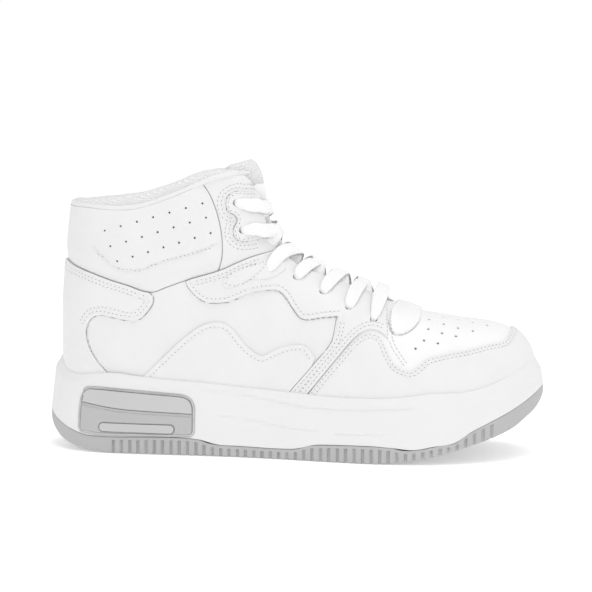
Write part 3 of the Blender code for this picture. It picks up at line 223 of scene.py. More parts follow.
# Rows of stitching: the seam, the distances of its rows, and where they start and end.
STITCHED_SEAMS = ((COLLAR_SEAM, (2.3, 4.4), HEEL_X, -87), (COLLAR_SEAM, (2.2, 4.2), -58, -21),
                  (HEEL_OVERLAY_FRONT[:11], (2.4, 4.6), HEEL_X, TOE_X), (WAVE_TOP, (3.0,), HEEL_X, 12),
                  (LEG_REAR, (-2.0, -3.9), HEEL_X, TOE_X), (LEG_FRONT, (-2.0, -3.9), HEEL_X, 53),
                  (EYESTAY_LOWER, (-2.4,), HEEL_X, TOE_X), (LACE_TAB_REAR, (2.4, 4.6), HEEL_X, -21),
                  (LACE_TAB_REAR, (-1.2,), HEEL_X, -24), (COLLAR_QUILT, (0.0,), HEEL_X, TOE_X),
                  (PATCH_STITCH, (0.0, 2.0), HEEL_X, TOE_X))
MUDGUARD_STITCHING = (1.4, 3.3)
LEAF_STITCH_END = -14.0
LEAF_STITCH_SHARE = 0.86
# Lenses of painted shade in needle holes and perforations: half length, half width, then the heights of the
# rim, the top and the bottom.
NEEDLE_SHADE_LENS = (0.36, 0.27, 0.02, 0.05, -0.3)
PERFORATION_SHADE_LENS = (0.95, 0.95, 0.0, 0.1, -0.3)
PERFORATION_SHADE_DEPTH = 0.85
PERFORATION_RADIUS = 0.6
TOE_PERFORATION_RADIUS = 0.75
EYELET_RADIUS = 2.1

# ------------------------------------------------------------------ sole unit
PART_GAP = 0.3
TOE_SEARCH_X = 100.0
SHOULDER_DROP = 7.0
SHOULDER_SHARE = 0.72
CORNER_SHARE = 0.07
WALL_THICKNESS = 4.1
TOE_FEATHER = (112.0, 134.0)
HEEL_FEATHER = (-138.0, -122.0)
LIP_FEATHER_WIDTH = 5.0
LIP_FEATHER = 1.5
LIP_ROUND = 0.9
LEDGE_DEPTH = 0.55
LINE_DEPTH = 0.4
INSERT_CORNER = 2.5
INSERT_GROOVE = 1.2
INSERT_GAP = 0.1
INSERT_LAYER = (-0.4, 1.5)
SLOT_LINE = 0.45
RIB_PITCH = 4.88
RIB_START = -103.5
RIB_COUNT = 45
RIB_GROOVE = 0.85
RIB_DEPTH = 1.3
BAR_DEPTH = 1.2
THINNEST_EDGE = 1.9
# The outsole's rings, each (distance in from the rim, height or drop, how deep its ribs are).
GROUND_RINGS = [(14.0, 0.9, 0.0), (7.0, 0.5, 0.3), (6.5, 0.05, 0.0), (2.0, 0.0, 1.0),
                (0.9, 0.25, 1.0), (0.25, 1.0, 1.0), (0.0, 1.9, 1.0)]
EDGE_RINGS = [(0.0, 2.1, 1.0), (0.0, 1.6, 0.0), (0.0, 0.5, 0.0), (0.25, 0.1, 0.0),
              (0.8, 0.0, 0.0), (5.0, 0.0, 0.0)]
LINER_INSET = 6.4
LINER_SPARE = 2.0
# The sock liner's rings, each (share of the way out to its rim, height over the board).
LINER_RINGS = [(0.97, 0.35), (1.0, 0.9), (1.0, 4.2), (0.985, 5.1), (0.94, 5.3), (0.8, 4.7),
               (0.55, 4.1), (0.3, 3.9), (0.08, 3.9)]

# ------------------------------------------------------------------ collar, tongue and laces
COLLAR_ROLL_END_X = -29.5
COLLAR_BAND_END_X = -27.5
COLLAR_DEPTH = [(-140, 10.5), (-56, 10.5), (-50, 9.5), (-44, 8.0), (-29, 5.5)]
COLLAR_RISE = [(-140, 4), (-130, 5), (-120, 6.6), (-110, 8.4), (-60, 8.6), (-52, 7.6), (-44, 5.6),
               (-36, 4.0), (-29, 2.6)]
COLLAR_BAND = [(0.95, 0.15), (1.1, 1.3), (0.8, 2.5), (0.0, 2.95), (-1.2, 2.7), (-1.6, 1.2),
               (-1.4, -0.9), (-0.2, -0.6)]
COLLAR_ROLL = [(0.13, 0.05), (0.06, 0.28), (0.04, 0.5), (0.14, 0.78), (0.34, 0.96), (0.56, 1.0),
               (0.8, 0.86), (0.98, 0.5), (1.04, 0.0), (0.98, -0.35), (0.6, -0.3)]
COLLAR_ROLL_PLACE = (0.9, 0.2)
COLLAR_UNEVEN = 0.25
ROLL_TIP = 0.15
ROLL_TAPER = 5

TONGUE_BASE_X = 64.0
TONGUE_TOP_X = -29.5
TONGUE_TOP_SWEEP = 2.5
TONGUE_HALF_WIDTH = [(-35, 19), (-28, 20.5), (-15, 21), (10, 24), (50, 25), (64, 21)]
TONGUE_CENTRE_OFFSET = [(-35, 3.2), (-26, 2.7), (-21, 1.4), (-17.5, 0.2), (-13, -0.3), (5, -1.5),
                        (35, -3.5), (52, -5.8), (64, -6.4)]
TONGUE_EDGE_OFFSET = [(-35, -7.0), (-25, -6.4), (-12, -6.0), (5, -6.0), (64, -6.4)]
TONGUE_HUMP = (2.0, 15.0)
TONGUE_CORNER = 0.03
TONGUE_BAND = 15.0
TONGUE_UNDER_LACE = (-23.0, -18.0)
TONGUE_SEARCH = 60.0

LACE_WIDTH = 8.3
LACE_THICKNESS = 1.5
LACE_CROSSINGS = [-18.4, -12.6, -1.5, 11.0, 25.5, 38.5, 49.5]
LACE_CREST = [2.8, 2.8, 3.6, 4.4, 4.4, 4.4, 5.6]
OVER_EYESTAY = 2.15
UNDER_EYESTAY = -4.2
STRAIGHT_RUNS = 2
# Marks of a run, each (share of the way to the ridge or to the next eyelet, share of its girth).
LACE_BEFORE_RIDGE = [(0.10, 0.93), (0.42, 0.62), (0.78, 0.27)]
LACE_AFTER_RIDGE = [(0.3, 0.27), (0.55, 0.55), (0.75, 0.75)]
# Half of the lowest run, each (distance ahead of its eyelet, share of its girth).
LACE_LAST_HALF = [(-0.5, 1.01), (-0.2, 1.0), (0.5, 0.92), (1.5, 0.6)]
LACE_SECTION = [(-1.0, 0.0), (-0.93, 0.32), (-0.7, 0.5), (-0.25, 0.42), (0.25, 0.42), (0.7, 0.5),
                (0.93, 0.32), (1.0, 0.0), (0.93, -0.32), (0.7, -0.5), (0.0, -0.45), (-0.7, -0.5),
                (-0.93, -0.32)]
# The weave's own unit in millimetres, and its pitches in that unit.
WEAVE_UNIT = 10
YARN_PITCH = 0.105
STRAND_PITCH = 0.13

# ------------------------------------------------------------------ light and camera, in metres
DOME = {"From Min": 0.2, "From Max": 0.6, "To Min": 1.02, "To Max": 0.72}
SOFTBOXES = [("top_softbox", (0.2, -0.3, 1.6), 1.2, 9.0), ("front_softbox", (0.7, -1.5, 0.9), 1.0, 2.0)]
FLOOR_HALF = 6.0
FLOOR_GLOW = 0.27
CAMERA_AZIMUTH = math.radians(5.0)
CAMERA_ELEVATION = math.radians(5.0)
CAMERA_DISTANCE = 1.1
CAMERA_TARGET = Vector((0.0, 0.0, 0.091))
CAMERA_ROLL = math.radians(0.6)
CAMERA_SHIFT = -0.0017
LENS = 112.42
SENSOR = 36.0
CLIP_END = 50.0


# ------------------------------------------------------------------ curves
def smooth_through(points, steps=12):
    """Points of a centripetal Catmull-Rom curve through the given points."""
    p = np.array(points, float)
    p = np.vstack([2 * p[0] - p[1], p, 2 * p[-1] - p[-2]])
    knots = np.concatenate([[0.0], np.cumsum(np.linalg.norm(np.diff(p, axis=0), axis=1) ** 0.5)])
    curve = []
    for i in range(1, len(p) - 2):
        k0, k1, k2, k3 = knots[i - 1:i + 3]
        t = np.linspace(k1, k2, steps, endpoint=False)[:, None]
        a1 = ((k1 - t) * p[i - 1] + (t - k0) * p[i]) / (k1 - k0)
        a2 = ((k2 - t) * p[i] + (t - k1) * p[i + 1]) / (k2 - k1)
        a3 = ((k3 - t) * p[i + 1] + (t - k2) * p[i + 2]) / (k3 - k2)
        b1 = ((k2 - t) * a1 + (t - k0) * a2) / (k2 - k0)
        b2 = ((k3 - t) * a2 + (t - k1) * a3) / (k3 - k1)
        curve.append(((k2 - t) * b1 + (t - k1) * b2) / (k2 - k1))
    return np.vstack(curve + [p[-2:-1]])


def smooth_loop(points, steps):
    """A closed smooth curve through the points, with the same number of steps between each pair."""
    p = np.asarray(points, float)
    count = len(p)
    padded = np.vstack([p[-3:], p, p[:4]])
    return smooth_through(padded, steps)[3 * steps:(3 + count) * steps]


def profile(points):
    """A smooth function of x through the given (x, value) points."""
    curve = smooth_through(points)
    return lambda x: np.interp(x, curve[:, 0], curve[:, 1])


def plan_halves(heel_x, toe, lateral, medial):
    """Half outlines seen from above, each a function that gives y at a distance along the foot."""
    ring = [(heel_x, 0.0)] + lateral + [toe] + medial[::-1] + [(heel_x, 0.0)]
    ring = [medial[0]] + ring + [lateral[0]]
    curve = smooth_through(ring, PLAN_STEPS)
    turn = (1 + len(lateral) + 1) * PLAN_STEPS
    outer, inner = curve[PLAN_STEPS:turn + 1], curve[turn:-PLAN_STEPS][::-1]
    return ((lambda x: np.interp(x, outer[:, 0], outer[:, 1])),
            (lambda x: np.interp(x, inner[:, 0], inner[:, 1])), outer)


board_height = profile(BOARD_HEIGHT)
ridge_height = profile(RIDGE_HEIGHT)
ridge_offset = profile(RIDGE_OFFSET)
section_power = profile(SECTION_POWER)
topline_height = profile(TOPLINE_HEIGHT)
bottom_curve = profile(SOLE_BOTTOM)
outsole_edge = profile(OUTSOLE_EDGE)
lip_height = profile(LIP_HEIGHT)
upper_lateral, upper_medial, upper_outline = plan_halves(
    HEEL_X, (TOE_X, TOE_Y), UPPER_PLAN_LATERAL, UPPER_PLAN_MEDIAL)
sole_lateral, sole_medial, sole_outline = plan_halves(
    SOLE_HEEL_X, SOLE_TOE, SOLE_PLAN_LATERAL, SOLE_PLAN_MEDIAL)


def sole_bottom(x):
    return np.maximum(bottom_curve(x), 0.0)


def stations(outline, start, end, count):
    """Distances along the foot, evenly spaced round an outline, from heel to toe."""
    run = np.concatenate([[0.0], np.cumsum(np.linalg.norm(np.diff(outline, axis=0), axis=1))])
    xs = np.interp(np.linspace(0, run[-1], count + 1), run, outline[:, 0])
    xs[0], xs[-1] = start, end
    return xs


UPPER_STATIONS = stations(upper_outline, HEEL_X, TOE_X, COARSE_COLUMNS)
SOLE_STATIONS = stations(sole_outline, SOLE_HEEL_X, SOLE_TOE[0], COARSE_COLUMNS)


# ------------------------------------------------------------------ the form
def smoothstep(low, high, value):
    t = np.clip((value - low) / (high - low), 0.0, 1.0)
    return t * t * (3 - 2 * t)


def heel_lean(x, z):
    """How far the heel leans forward at a height; the lean fades out towards the instep."""
    rise = np.clip((z - HEEL_LEAN_START) / HEEL_LEAN_SPAN, 0.0, None) ** HEEL_LEAN_POWER
    return HEEL_LEAN * rise * (1 - smoothstep(*HEEL_LEAN_FADE, x))


def half_width(x, side):
    """Signed distance from the ridge plane to the board's edge; it is zero at heel and toe."""
    width = np.where(side < 0, upper_lateral(x), upper_medial(x)) - ridge_offset(x)
    return np.where((x > HEEL_X) & (x < TOE_X), width, 0.0)


def form_point(x, girth):
    """World place (mm) of a station and girth on the form."""
    x = np.asarray(x, float)
    girth = np.asarray(girth, float)
    angle = (1 - np.abs(girth) / GIRTH_END) * math.pi / 2
    power = 2 / section_power(x)
    width = half_width(x, girth)
    z = board_height(x) + (ridge_height(x) - board_height(x)) * np.sin(angle) ** power
    y = ridge_offset(x) + width * np.clip(np.cos(angle), 0, 1) ** power
    return np.stack([x + heel_lean(x, z), y, z], axis=-1)


def form_normal(x, girth):
    """Outward direction square to the form."""
    x, girth = np.clip(x, HEEL_X + 1, TOE_X - 1), np.clip(girth, 1 - GIRTH_END, GIRTH_END - 1)
    along = form_point(x + 0.5, girth) - form_point(x - 0.5, girth)
    up = form_point(x, girth + 0.5) - form_point(x, girth - 0.5)
    normal = np.cross(along, up)
    return normal / np.linalg.norm(normal, axis=-1, keepdims=True)


def side_mark(x, z, side):
    """(station, girth) of a place given in side view."""
    x, z = np.asarray(x, float), np.asarray(z, float)
    station = x - heel_lean(x, z)
    share = (z - board_height(station)) / (ridge_height(station) - board_height(station))
    angle = np.arcsin(np.clip(share, 0, 1) ** (section_power(station) / 2))
    girth = GIRTH_END * (1 - angle / (math.pi / 2))
    girth = np.where(share < 0, GIRTH_END * (1 - share), girth)
    return np.stack([station, side * girth], axis=-1)


def plan_mark(x, y):
    """(station, girth) of a place given from above."""
    side = 1.0 if y > ridge_offset(x) else -1.0
    share = (y - ridge_offset(x)) / half_width(x, side)
    angle = math.acos(min(1.0, float(share)) ** (float(section_power(x)) / 2))
    return np.array([x, side * GIRTH_END * (1 - angle / (math.pi / 2))])


def side_curve(points, side, steps=8):
    curve = smooth_through(points, steps)
    return side_mark(curve[:, 0], curve[:, 1], side)


def topline_girth(x):
    return side_mark(x, topline_height(x), 1.0)[..., 1]


def weld_index(points):
    """For each point, the number of the first point in the same place."""
    _, index, back = np.unique(np.round(points, 4), axis=0, return_index=True, return_inverse=True)
    return index[back.ravel()]


def vertex_normals(points, triangles):
    same = weld_index(points)
    a, b, c = (points[triangles[:, k]] for k in range(3))
    face = np.cross(b - a, c - a)
    normal = np.zeros_like(points)
    for k in range(3):
        np.add.at(normal, same[triangles[:, k]], face)
    normal = normal[same]
    return normal / np.maximum(np.linalg.norm(normal, axis=1, keepdims=True), 1e-12)


# A surface's data has one row for each vertex: place, normal, then its two chart values.
PLACE, NORMAL, CHART = slice(0, 3), slice(3, 6), slice(6, 8)


def form_surface(columns, rows):
    """Both halves of the form as vertex data and triangles, not yet welded."""
    xs = stations(upper_outline, HEEL_X, TOE_X, columns)
    points, charts, triangles = [], [], []
    i, j = np.meshgrid(np.arange(columns), np.arange(rows), indexing="ij")
    corner = (i * (rows + 1) + j).ravel()
    quads = np.stack([corner, corner + rows + 1, corner + rows + 2, corner + 1], axis=1)
    even = ((i + j) % 2 == 0).ravel()
    for side, _ in SIDES:
        first = len(points) * (rows + 1)
        for x in xs:
            top = float(topline_girth(x)) if x < FRONT_X else 0.0
            fine = np.linspace(GIRTH_END, top, FINE_MARKS)
            line = form_point(np.full(FINE_MARKS, x), side * fine)
            run = np.concatenate([[0.0], np.cumsum(np.linalg.norm(np.diff(line, axis=0), axis=1))])
            girth = side * np.interp(np.linspace(0, run[-1], rows + 1), run, fine)
            points.append(form_point(np.full(rows + 1, x), girth))
            charts.append(np.stack([np.full(rows + 1, x), girth], axis=1))
        q = quads + first
        made = np.vstack([q[even][:, [0, 1, 3]], q[even][:, [1, 2, 3]],
                          q[~even][:, [0, 1, 2]], q[~even][:, [0, 2, 3]]])
        triangles.append(made if side < 0 else made[:, ::-1])
    points, charts, triangles = np.vstack(points), np.vstack(charts), np.vstack(triangles)
    return np.hstack([points, vertex_normals(points, triangles), charts]), triangles


# ------------------------------------------------------------------ distances and cuts
def inside_polygon(places, polygon):
    x, y = places[:, 0], places[:, 1]
    inside = np.zeros(len(places), bool)
    for (x1, y1), (x2, y2) in zip(polygon, np.roll(polygon, -1, axis=0)):
        if y1 == y2:
            continue
        crosses = (y1 > y) != (y2 > y)
        inside ^= crosses & (x < (x2 - x1) * (y - y1) / (y2 - y1) + x1)
    return inside


def distance_to_lines(points, lines):
    """Distance from each point to the nearest of some polylines."""
    marks = np.vstack(lines)
    joined = np.ones(len(marks), bool)
    joined[np.cumsum([len(line) for line in lines]) - 1] = False
    tree = KDTree(len(marks))
    for n, mark in enumerate(marks):
        tree.insert(mark, n)
    tree.balance()
    near = np.array([tree.find(p)[1] for p in points], int)
    best = np.full(len(points), 1e9)
    for start in (near - 1, near):
        start = np.clip(start, 0, len(marks) - 1)
        a = marks[start]
        ab = np.where(joined[start][:, None], marks[np.minimum(start + 1, len(marks) - 1)] - a, 0.0)
        length = np.maximum((ab ** 2).sum(axis=1), 1e-12)
        t = np.clip(((points - a) * ab).sum(axis=1) / length, 0, 1)
        best = np.minimum(best, np.linalg.norm(points - a - ab * t[:, None], axis=1))
    return np.minimum(best, np.linalg.norm(points - marks[near], axis=1))


def edge_runs(polygons):
    """The parts of the outlines that lie on the form, as polylines in space."""
    runs = []
    for polygon in polygons:
        marks = []
        for start, end in zip(polygon, np.roll(polygon, -1, axis=0)):
            length = math.hypot(*(end - start))
            near_tip = min(start[0] - HEEL_X, TOE_X - start[0]) < TIP_REACH
            count = TIP_MARKS if near_tip else int(2 * length)
            share = np.linspace(0, 1, max(2, count), endpoint=False)[:, None]
            marks.append(start + (end - start) * share)
        marks = np.vstack(marks + [polygon[:1]])
        on_form = (marks[:, 0] > HEEL_X) & (marks[:, 0] < TOE_X) & (np.abs(marks[:, 1]) < GIRTH_END)
        breaks = np.flatnonzero(np.diff(on_form.astype(int))) + 1
        for run in np.split(np.arange(len(marks)), breaks):
            if on_form[run[0]]:
                runs.append(form_point(marks[run, 0], marks[run, 1]))
    return runs


def panel_distance(data, polygons):
    """Signed distance in mm, over the form, to a panel's outlines; it is positive inside them."""
    charts = data[:, CHART]
    inside = np.zeros(len(data), bool)
    close = np.zeros(len(data), bool)
    for polygon in polygons:
        low, high = polygon.min(axis=0) - BOX_MARGIN, polygon.max(axis=0) + BOX_MARGIN
        boxed = ((charts >= low) & (charts <= high)).all(axis=1)
        close |= boxed
        inside[boxed] |= inside_polygon(charts[boxed], polygon)
    distance = np.full(len(data), FAR_OUTSIDE)
    distance[close] = distance_to_lines(data[close, PLACE], edge_runs(polygons))
    return np.where(inside, distance, -np.abs(distance))


def split_at(data, triangles, column, level, keep_above=False):
    """Cut the triangles along a line where one column of the data has the given value."""
    value = data[:, column] - level
    above = value > 0
    count = above[triangles].sum(axis=1)
    mixed = triangles[(count == 1) | (count == 2)]
    whole = triangles[(count == 3) if keep_above else ((count == 0) | (count == 3))]
    if not len(mixed):
        return data, whole
    odd_above = above[mixed].sum(axis=1) == 1
    odd = np.argmax(above[mixed] == odd_above[:, None], axis=1)
    rows = np.arange(len(mixed))
    a, b, c = mixed[rows, odd], mixed[rows, (odd + 1) % 3], mixed[rows, (odd + 2) % 3]
    edges = np.sort(np.vstack([np.stack([a, b], 1), np.stack([a, c], 1)]), axis=1)
    unique, back = np.unique(edges, axis=0, return_inverse=True)
    back = back.ravel() + len(data)
    first, second = value[unique[:, 0]], value[unique[:, 1]]
    share = np.clip(first / (first - second), 0.02, 0.98)[:, None]
    made = data[unique[:, 0]] * (1 - share) + data[unique[:, 1]] * share
    made[:, column] = level + 1e-9
    ab, ac = back[:len(mixed)], back[len(mixed):]
    corner = np.stack([a, ab, ac], 1)
    band = np.vstack([np.stack([ab, b, c], 1), np.stack([ab, c, ac], 1)])
    if keep_above:
        corner, band = corner[odd_above], band[np.tile(~odd_above, 2)]
    return np.vstack([data, made]), np.vstack([whole, corner, band])


def split_levels(data, triangles, column, levels):
    """Cut the triangles at several values of one column."""
    for level in levels:
        data, triangles = split_at(data, triangles, column, level)
    return data, triangles


def refined(data, triangles, near):
    """Halve the edges whose middles are near something small, such as a hole."""
    pairs = np.vstack([triangles[:, [0, 1]], triangles[:, [1, 2]], triangles[:, [2, 0]]])
    edges, back = np.unique(np.sort(pairs, axis=1), axis=0, return_inverse=True)
    back = back.ravel().reshape(3, -1).T
    middle = data[edges].mean(axis=1)
    chosen = near(middle[:, PLACE])
    number = np.where(chosen, len(data) + np.cumsum(chosen) - 1, -1)
    mids = number[back]
    touched = (mids >= 0).any(axis=1)
    made = []
    for corners, halves in zip(triangles[touched], mids[touched]):
        split = [m >= 0 for m in halves]
        turn = {1: split.index(True), 2: (split.index(False) + 1) % 3 if not all(split) else 0,
                3: 0}[sum(split)]
        a, b, c = np.roll(corners, -turn)
        ab, bc, ca = np.roll(halves, -turn)
        made += {1: [(a, ab, c), (ab, b, c)],
                 2: [(ab, b, bc), (a, ab, bc), (a, bc, c)],
                 3: [(a, ab, ca), (ab, b, bc), (ca, bc, c), (ab, bc, ca)]}[sum(split)]
    rest = np.array(made) if made else np.zeros((0, 3), int)
    return np.vstack([data, middle[chosen]]), np.vstack([triangles[~touched], rest])


def compact(data, triangles):
    used, renumbered = np.unique(triangles, return_inverse=True)
    return data[used], renumbered.reshape(-1, 3)


# ------------------------------------------------------------------ panel outlines
def behind_heel(seam):
    """Carries a seam on past the heel, where the two sides of the shoe meet."""
    return seam[:1] - (STATION_BEYOND, 0.0)


def below_board(x_from, x_to, side):
    """Closes an outline below the edge of the board."""
    return np.array([(x_from, side * GIRTH_BEYOND), (x_to, side * GIRTH_BEYOND)])


def above_topline(side, x_from, x_to):
    """Closes an outline above the topline, close to the ridge."""
    return np.array([(x_from, side * GIRTH_AT_RIDGE), (x_to, side * GIRTH_AT_RIDGE)])


def across_ridge(side_points, crown_points):
    """Marks down one side, over the ridge and up the other side."""
    marks = [side_mark(x, z, -1.0) for x, z in side_points]
    marks += [plan_mark(x, y) for x, y in crown_points]
    return marks + [side_mark(x, z, 1.0) for x, z in side_points[::-1]]


def throat_curve(side):
    """The edge of the lacing gap, from the ridge at its toe end up to the topline."""
    plan = [plan_mark(x, ridge_offset(x) + side * abs(y)) for x, y in THROAT_PLAN[1:]]
    rest = [side_mark(x, z, side) for x, z in THROAT_SIDE]
    return smooth_through([np.array([THROAT_PLAN[0][0], 0.0])] + plan + rest, 8)


def front_panels(halves):
    """Outlines of the panels that cross the ridge: vamp, mudguard and throat patch."""
    (rear_l, throat_l), (rear_m, throat_m) = halves
    toe = TOE_X + STATION_BEYOND

    def round_toe(start):
        return [below_board(start, toe, 1.0), below_board(toe, start, -1.0)]

    vamp = [np.vstack([rear_l, throat_l[::-1], throat_m[1:], rear_m[::-1]] + round_toe(10))]
    window = smooth_through(across_ridge(MUDGUARD_REAR, MUDGUARD_TOE), 8)
    patch = smooth_through(across_ridge(PATCH_FRONT, PATCH_CROWN), 8)
    patch_rear = [plan_mark(x, y) for x, y in PATCH_REAR]
    return {"vamp": vamp, "vamp_lining": vamp, "mudguard": [np.vstack([window] + round_toe(8))],
            "throat_patch": [np.vstack([patch, patch_rear])]}


def panel_outlines():
    """Every panel's outlines on the form, by node name."""
    heel = HEEL_X - STATION_BEYOND
    panels, halves = {}, []
    for side, label in SIDES:
        seam = side_curve(COLLAR_SEAM, side)
        facing = side_curve(FACING_SEAM, side)
        throat = throat_curve(side)
        vamp_rear = side_curve(VAMP_REAR, side)
        leg_rear = side_curve(LEG_REAR, side)
        meeting = np.argmin(np.linalg.norm(throat - seam[-1], axis=1))
        throat_high, throat_low = throat[meeting:], throat[:meeting]
        in_front = throat_low[throat_low[:, 0] > VAMP_REAR[-1][0]]
        behind = throat_low[throat_low[:, 0] <= VAMP_REAR[-1][0]]
        front_seam = seam[seam[:, 0] > FACING_SEAM[-1][0]]
        rear_seam = seam[seam[:, 0] <= FACING_SEAM[-1][0]]
        top = above_topline(side, -56, heel)

        panels["quarter_" + label] = [np.vstack([
            behind_heel(seam), seam, behind[::-1], vamp_rear[::-1], below_board(-10, heel, side)])]
        panels["ankle_facing_" + label] = [np.vstack([
            facing[::-1], above_topline(side, -56, -32), throat_high[::-1], front_seam[::-1]])]
        tab_front = throat_high[(throat_high[:, 0] > -23.2) & (throat_high[:, 0] < -15)]
        panels["lace_tab_" + label] = [np.vstack([side_curve(LACE_TAB_REAR, side), tab_front])]
        panels["eyestay_" + label] = [np.vstack([
            side_curve(EYESTAY_LOWER, side), leg_rear[1:], side_curve(LEG_FRONT, side),
            in_front[in_front[:, 0] < 54], behind, seam[seam[:, 0] > -61][::-1]])]
        panels["leaf_" + label] = [smooth_loop(side_mark(*np.array(LEAF).T, side), 6)]
        panels["wave_overlay_" + label] = [np.vstack([
            side_curve(WAVE_TOP, side), leg_rear[leg_rear[:, 0] < 14], below_board(-20, -100, side)])]

        shared = {
            "heel_overlay": [behind_heel(seam), seam[seam[:, 0] < -84.5],
                             side_curve(HEEL_OVERLAY_FRONT, side), below_board(-90, heel, side)],
            "collar_panel": [rear_seam, facing[facing[:, 1] * side < rear_seam[-1, 1] * side][::-1],
                             top, behind_heel(seam)],
            "collar_lining": [side_curve(COLLAR_LINING_EDGE, side), top, behind_heel(seam)],
            "quarter_lining": [side_curve(QUARTER_LINING_TOP, side), behind[behind[:, 0] > -12][::-1],
                               vamp_rear[::-1], below_board(-10, heel, side)]}
        for name, runs in shared.items():
            panels.setdefault(name, []).append(np.vstack(runs))
        halves.append((vamp_rear, in_front))
    panels.update(front_panels(halves))
    return panels


# ------------------------------------------------------------------ objects
def mesh_object(name, points, faces, finish, body="shoe", stands_for=(), slot="leather", sharp=40.0):
    """A piece from points in millimetres, riding on a body and standing for CAD nodes."""
    mesh = bpy.data.meshes.new(name)
    mesh.from_pydata((np.asarray(points, float) * MM).tolist(), [], [tuple(f) for f in faces])
    mesh.materials.append(finish)
    mesh.validate()
    mesh.shade_smooth()
    mesh.set_sharp_from_angle(angle=math.radians(sharp))
    made = bpy.data.objects.new(name, mesh)
    bpy.context.scene.collection.objects.link(made)
    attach(made, body)
    if stands_for:
        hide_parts(*stands_for)
    return made


def closed_shell(points, normals, triangles, low, high):
    """A closed body between two offsets of one open surface, as points and faces."""
    same = weld_index(points)
    triangles = same[triangles]
    a, b, c = triangles.T
    triangles = triangles[(a != b) & (b != c) & (a != c)]
    used, renumbered = np.unique(triangles, return_inverse=True)
    triangles = renumbered.reshape(-1, 3)
    count = len(used)
    directed = np.vstack([triangles[:, [0, 1]], triangles[:, [1, 2]], triangles[:, [2, 0]]])
    size = count + 1
    rim = directed[~np.isin(directed[:, 0] * size + directed[:, 1],
                            directed[:, 1] * size + directed[:, 0])]
    wall = np.stack([rim[:, 0], rim[:, 1], rim[:, 1] + count, rim[:, 0] + count], axis=1)
    low = np.broadcast_to(np.asarray(low, float), (len(points),))[used][:, None]
    high = np.broadcast_to(np.asarray(high, float), (len(points),))[used][:, None]
    points, normals = points[used], normals[used]
    faces = (triangles + count).tolist() + triangles[:, ::-1].tolist() + wall.tolist()
    return np.vstack([points + normals * low, points + normals * high]), faces


def ring_faces(rings, count):
    """Quads between rings of points, each ring closed on itself."""
    faces = []
    for i in range(rings - 1):
        for j in range(count):
            a, b = i * count + j, i * count + (j + 1) % count
            faces.append((a, b, b + count, a + count))
    return faces


def tube_faces(rings, count):
    """The faces of a tube of rings, with a flat cap on each end."""
    last = (rings - 1) * count
    return ring_faces(rings, count) + [tuple(range(count))[::-1], tuple(range(last, last + count))]


def edge_drop(distance, radius):
    """How far a rounded edge lies below the full height, at a distance in from the edge."""
    t = np.clip(1 - distance / radius, 0, 1)
    return radius * (1 - np.sqrt(1 - t * t))


def waver(points, size):
    """The slight unevenness of soft leather."""
    x, y, z = points.T
    return size * (np.sin(x / 7.1 + z / 11.3) * np.cos(z / 8.7 - y / 9.1)
                   + 0.6 * np.sin(x / 3.9 - z / 4.7 + 1.3) * np.cos(y / 5.3 + z / 6.1))


# ------------------------------------------------------------------ leather panels
FORM = form_surface(FORM_COLUMNS, FORM_ROWS)
INNER_FORM = form_surface(INNER_COLUMNS, INNER_ROWS)
OUTLINES = panel_outlines()

# The columns a panel adds to its data: distances to its edge, holes, quilting and grooves.
EDGE, HOLE, CREASE, GROOVE = 8, 9, 10, 11


def cut_panel(surface, polygons, rows, holes, creases, grooves):
    """The part of a surface inside the outlines, pierced, with mesh lines along each detail."""
    data, triangles = surface
    data = np.hstack([data, np.zeros((len(data), 4))])
    data[:, EDGE] = panel_distance(data, polygons) - SEAM_GAP
    keep = (data[triangles, EDGE] > -EDGE_REACH).any(axis=1)
    data, triangles = compact(data, triangles[keep])
    if holes:
        centres, radii = (np.array(values) for values in zip(*holes))

        def to_hole(points):
            return (np.linalg.norm(points[:, None, :] - centres[None], axis=2) - radii).min(axis=1)

        for reach in HOLE_REACHES:
            data, triangles = refined(data, triangles, lambda p: np.abs(to_hole(p)) < reach)
        data[:, HOLE] = to_hole(data[:, PLACE])
    data, triangles = compact(*split_at(data, triangles, EDGE, 0.0, keep_above=True))
    data, triangles = split_levels(data, triangles, EDGE, ROUND_LEVELS)
    for row in rows:
        dip = (row - STITCH_DIP_WIDTH, row, row + STITCH_DIP_WIDTH)
        data, triangles = split_levels(data, triangles, EDGE, dip)
    if creases:
        data[:, CREASE] = distance_to_lines(data[:, PLACE], creases)
        data, triangles = split_levels(data, triangles, CREASE, CREASE_LEVELS)
    if grooves:
        data[:, GROOVE] = distance_to_lines(data[:, PLACE], edge_runs(grooves))
        data, triangles = split_levels(data, triangles, GROOVE, GROOVE_LEVELS)
    if holes:
        data, triangles = split_at(data, triangles, HOLE, 0.0, keep_above=True)
        data, triangles = split_at(data, triangles, HOLE, HOLE_ROUND)
    return data, triangles


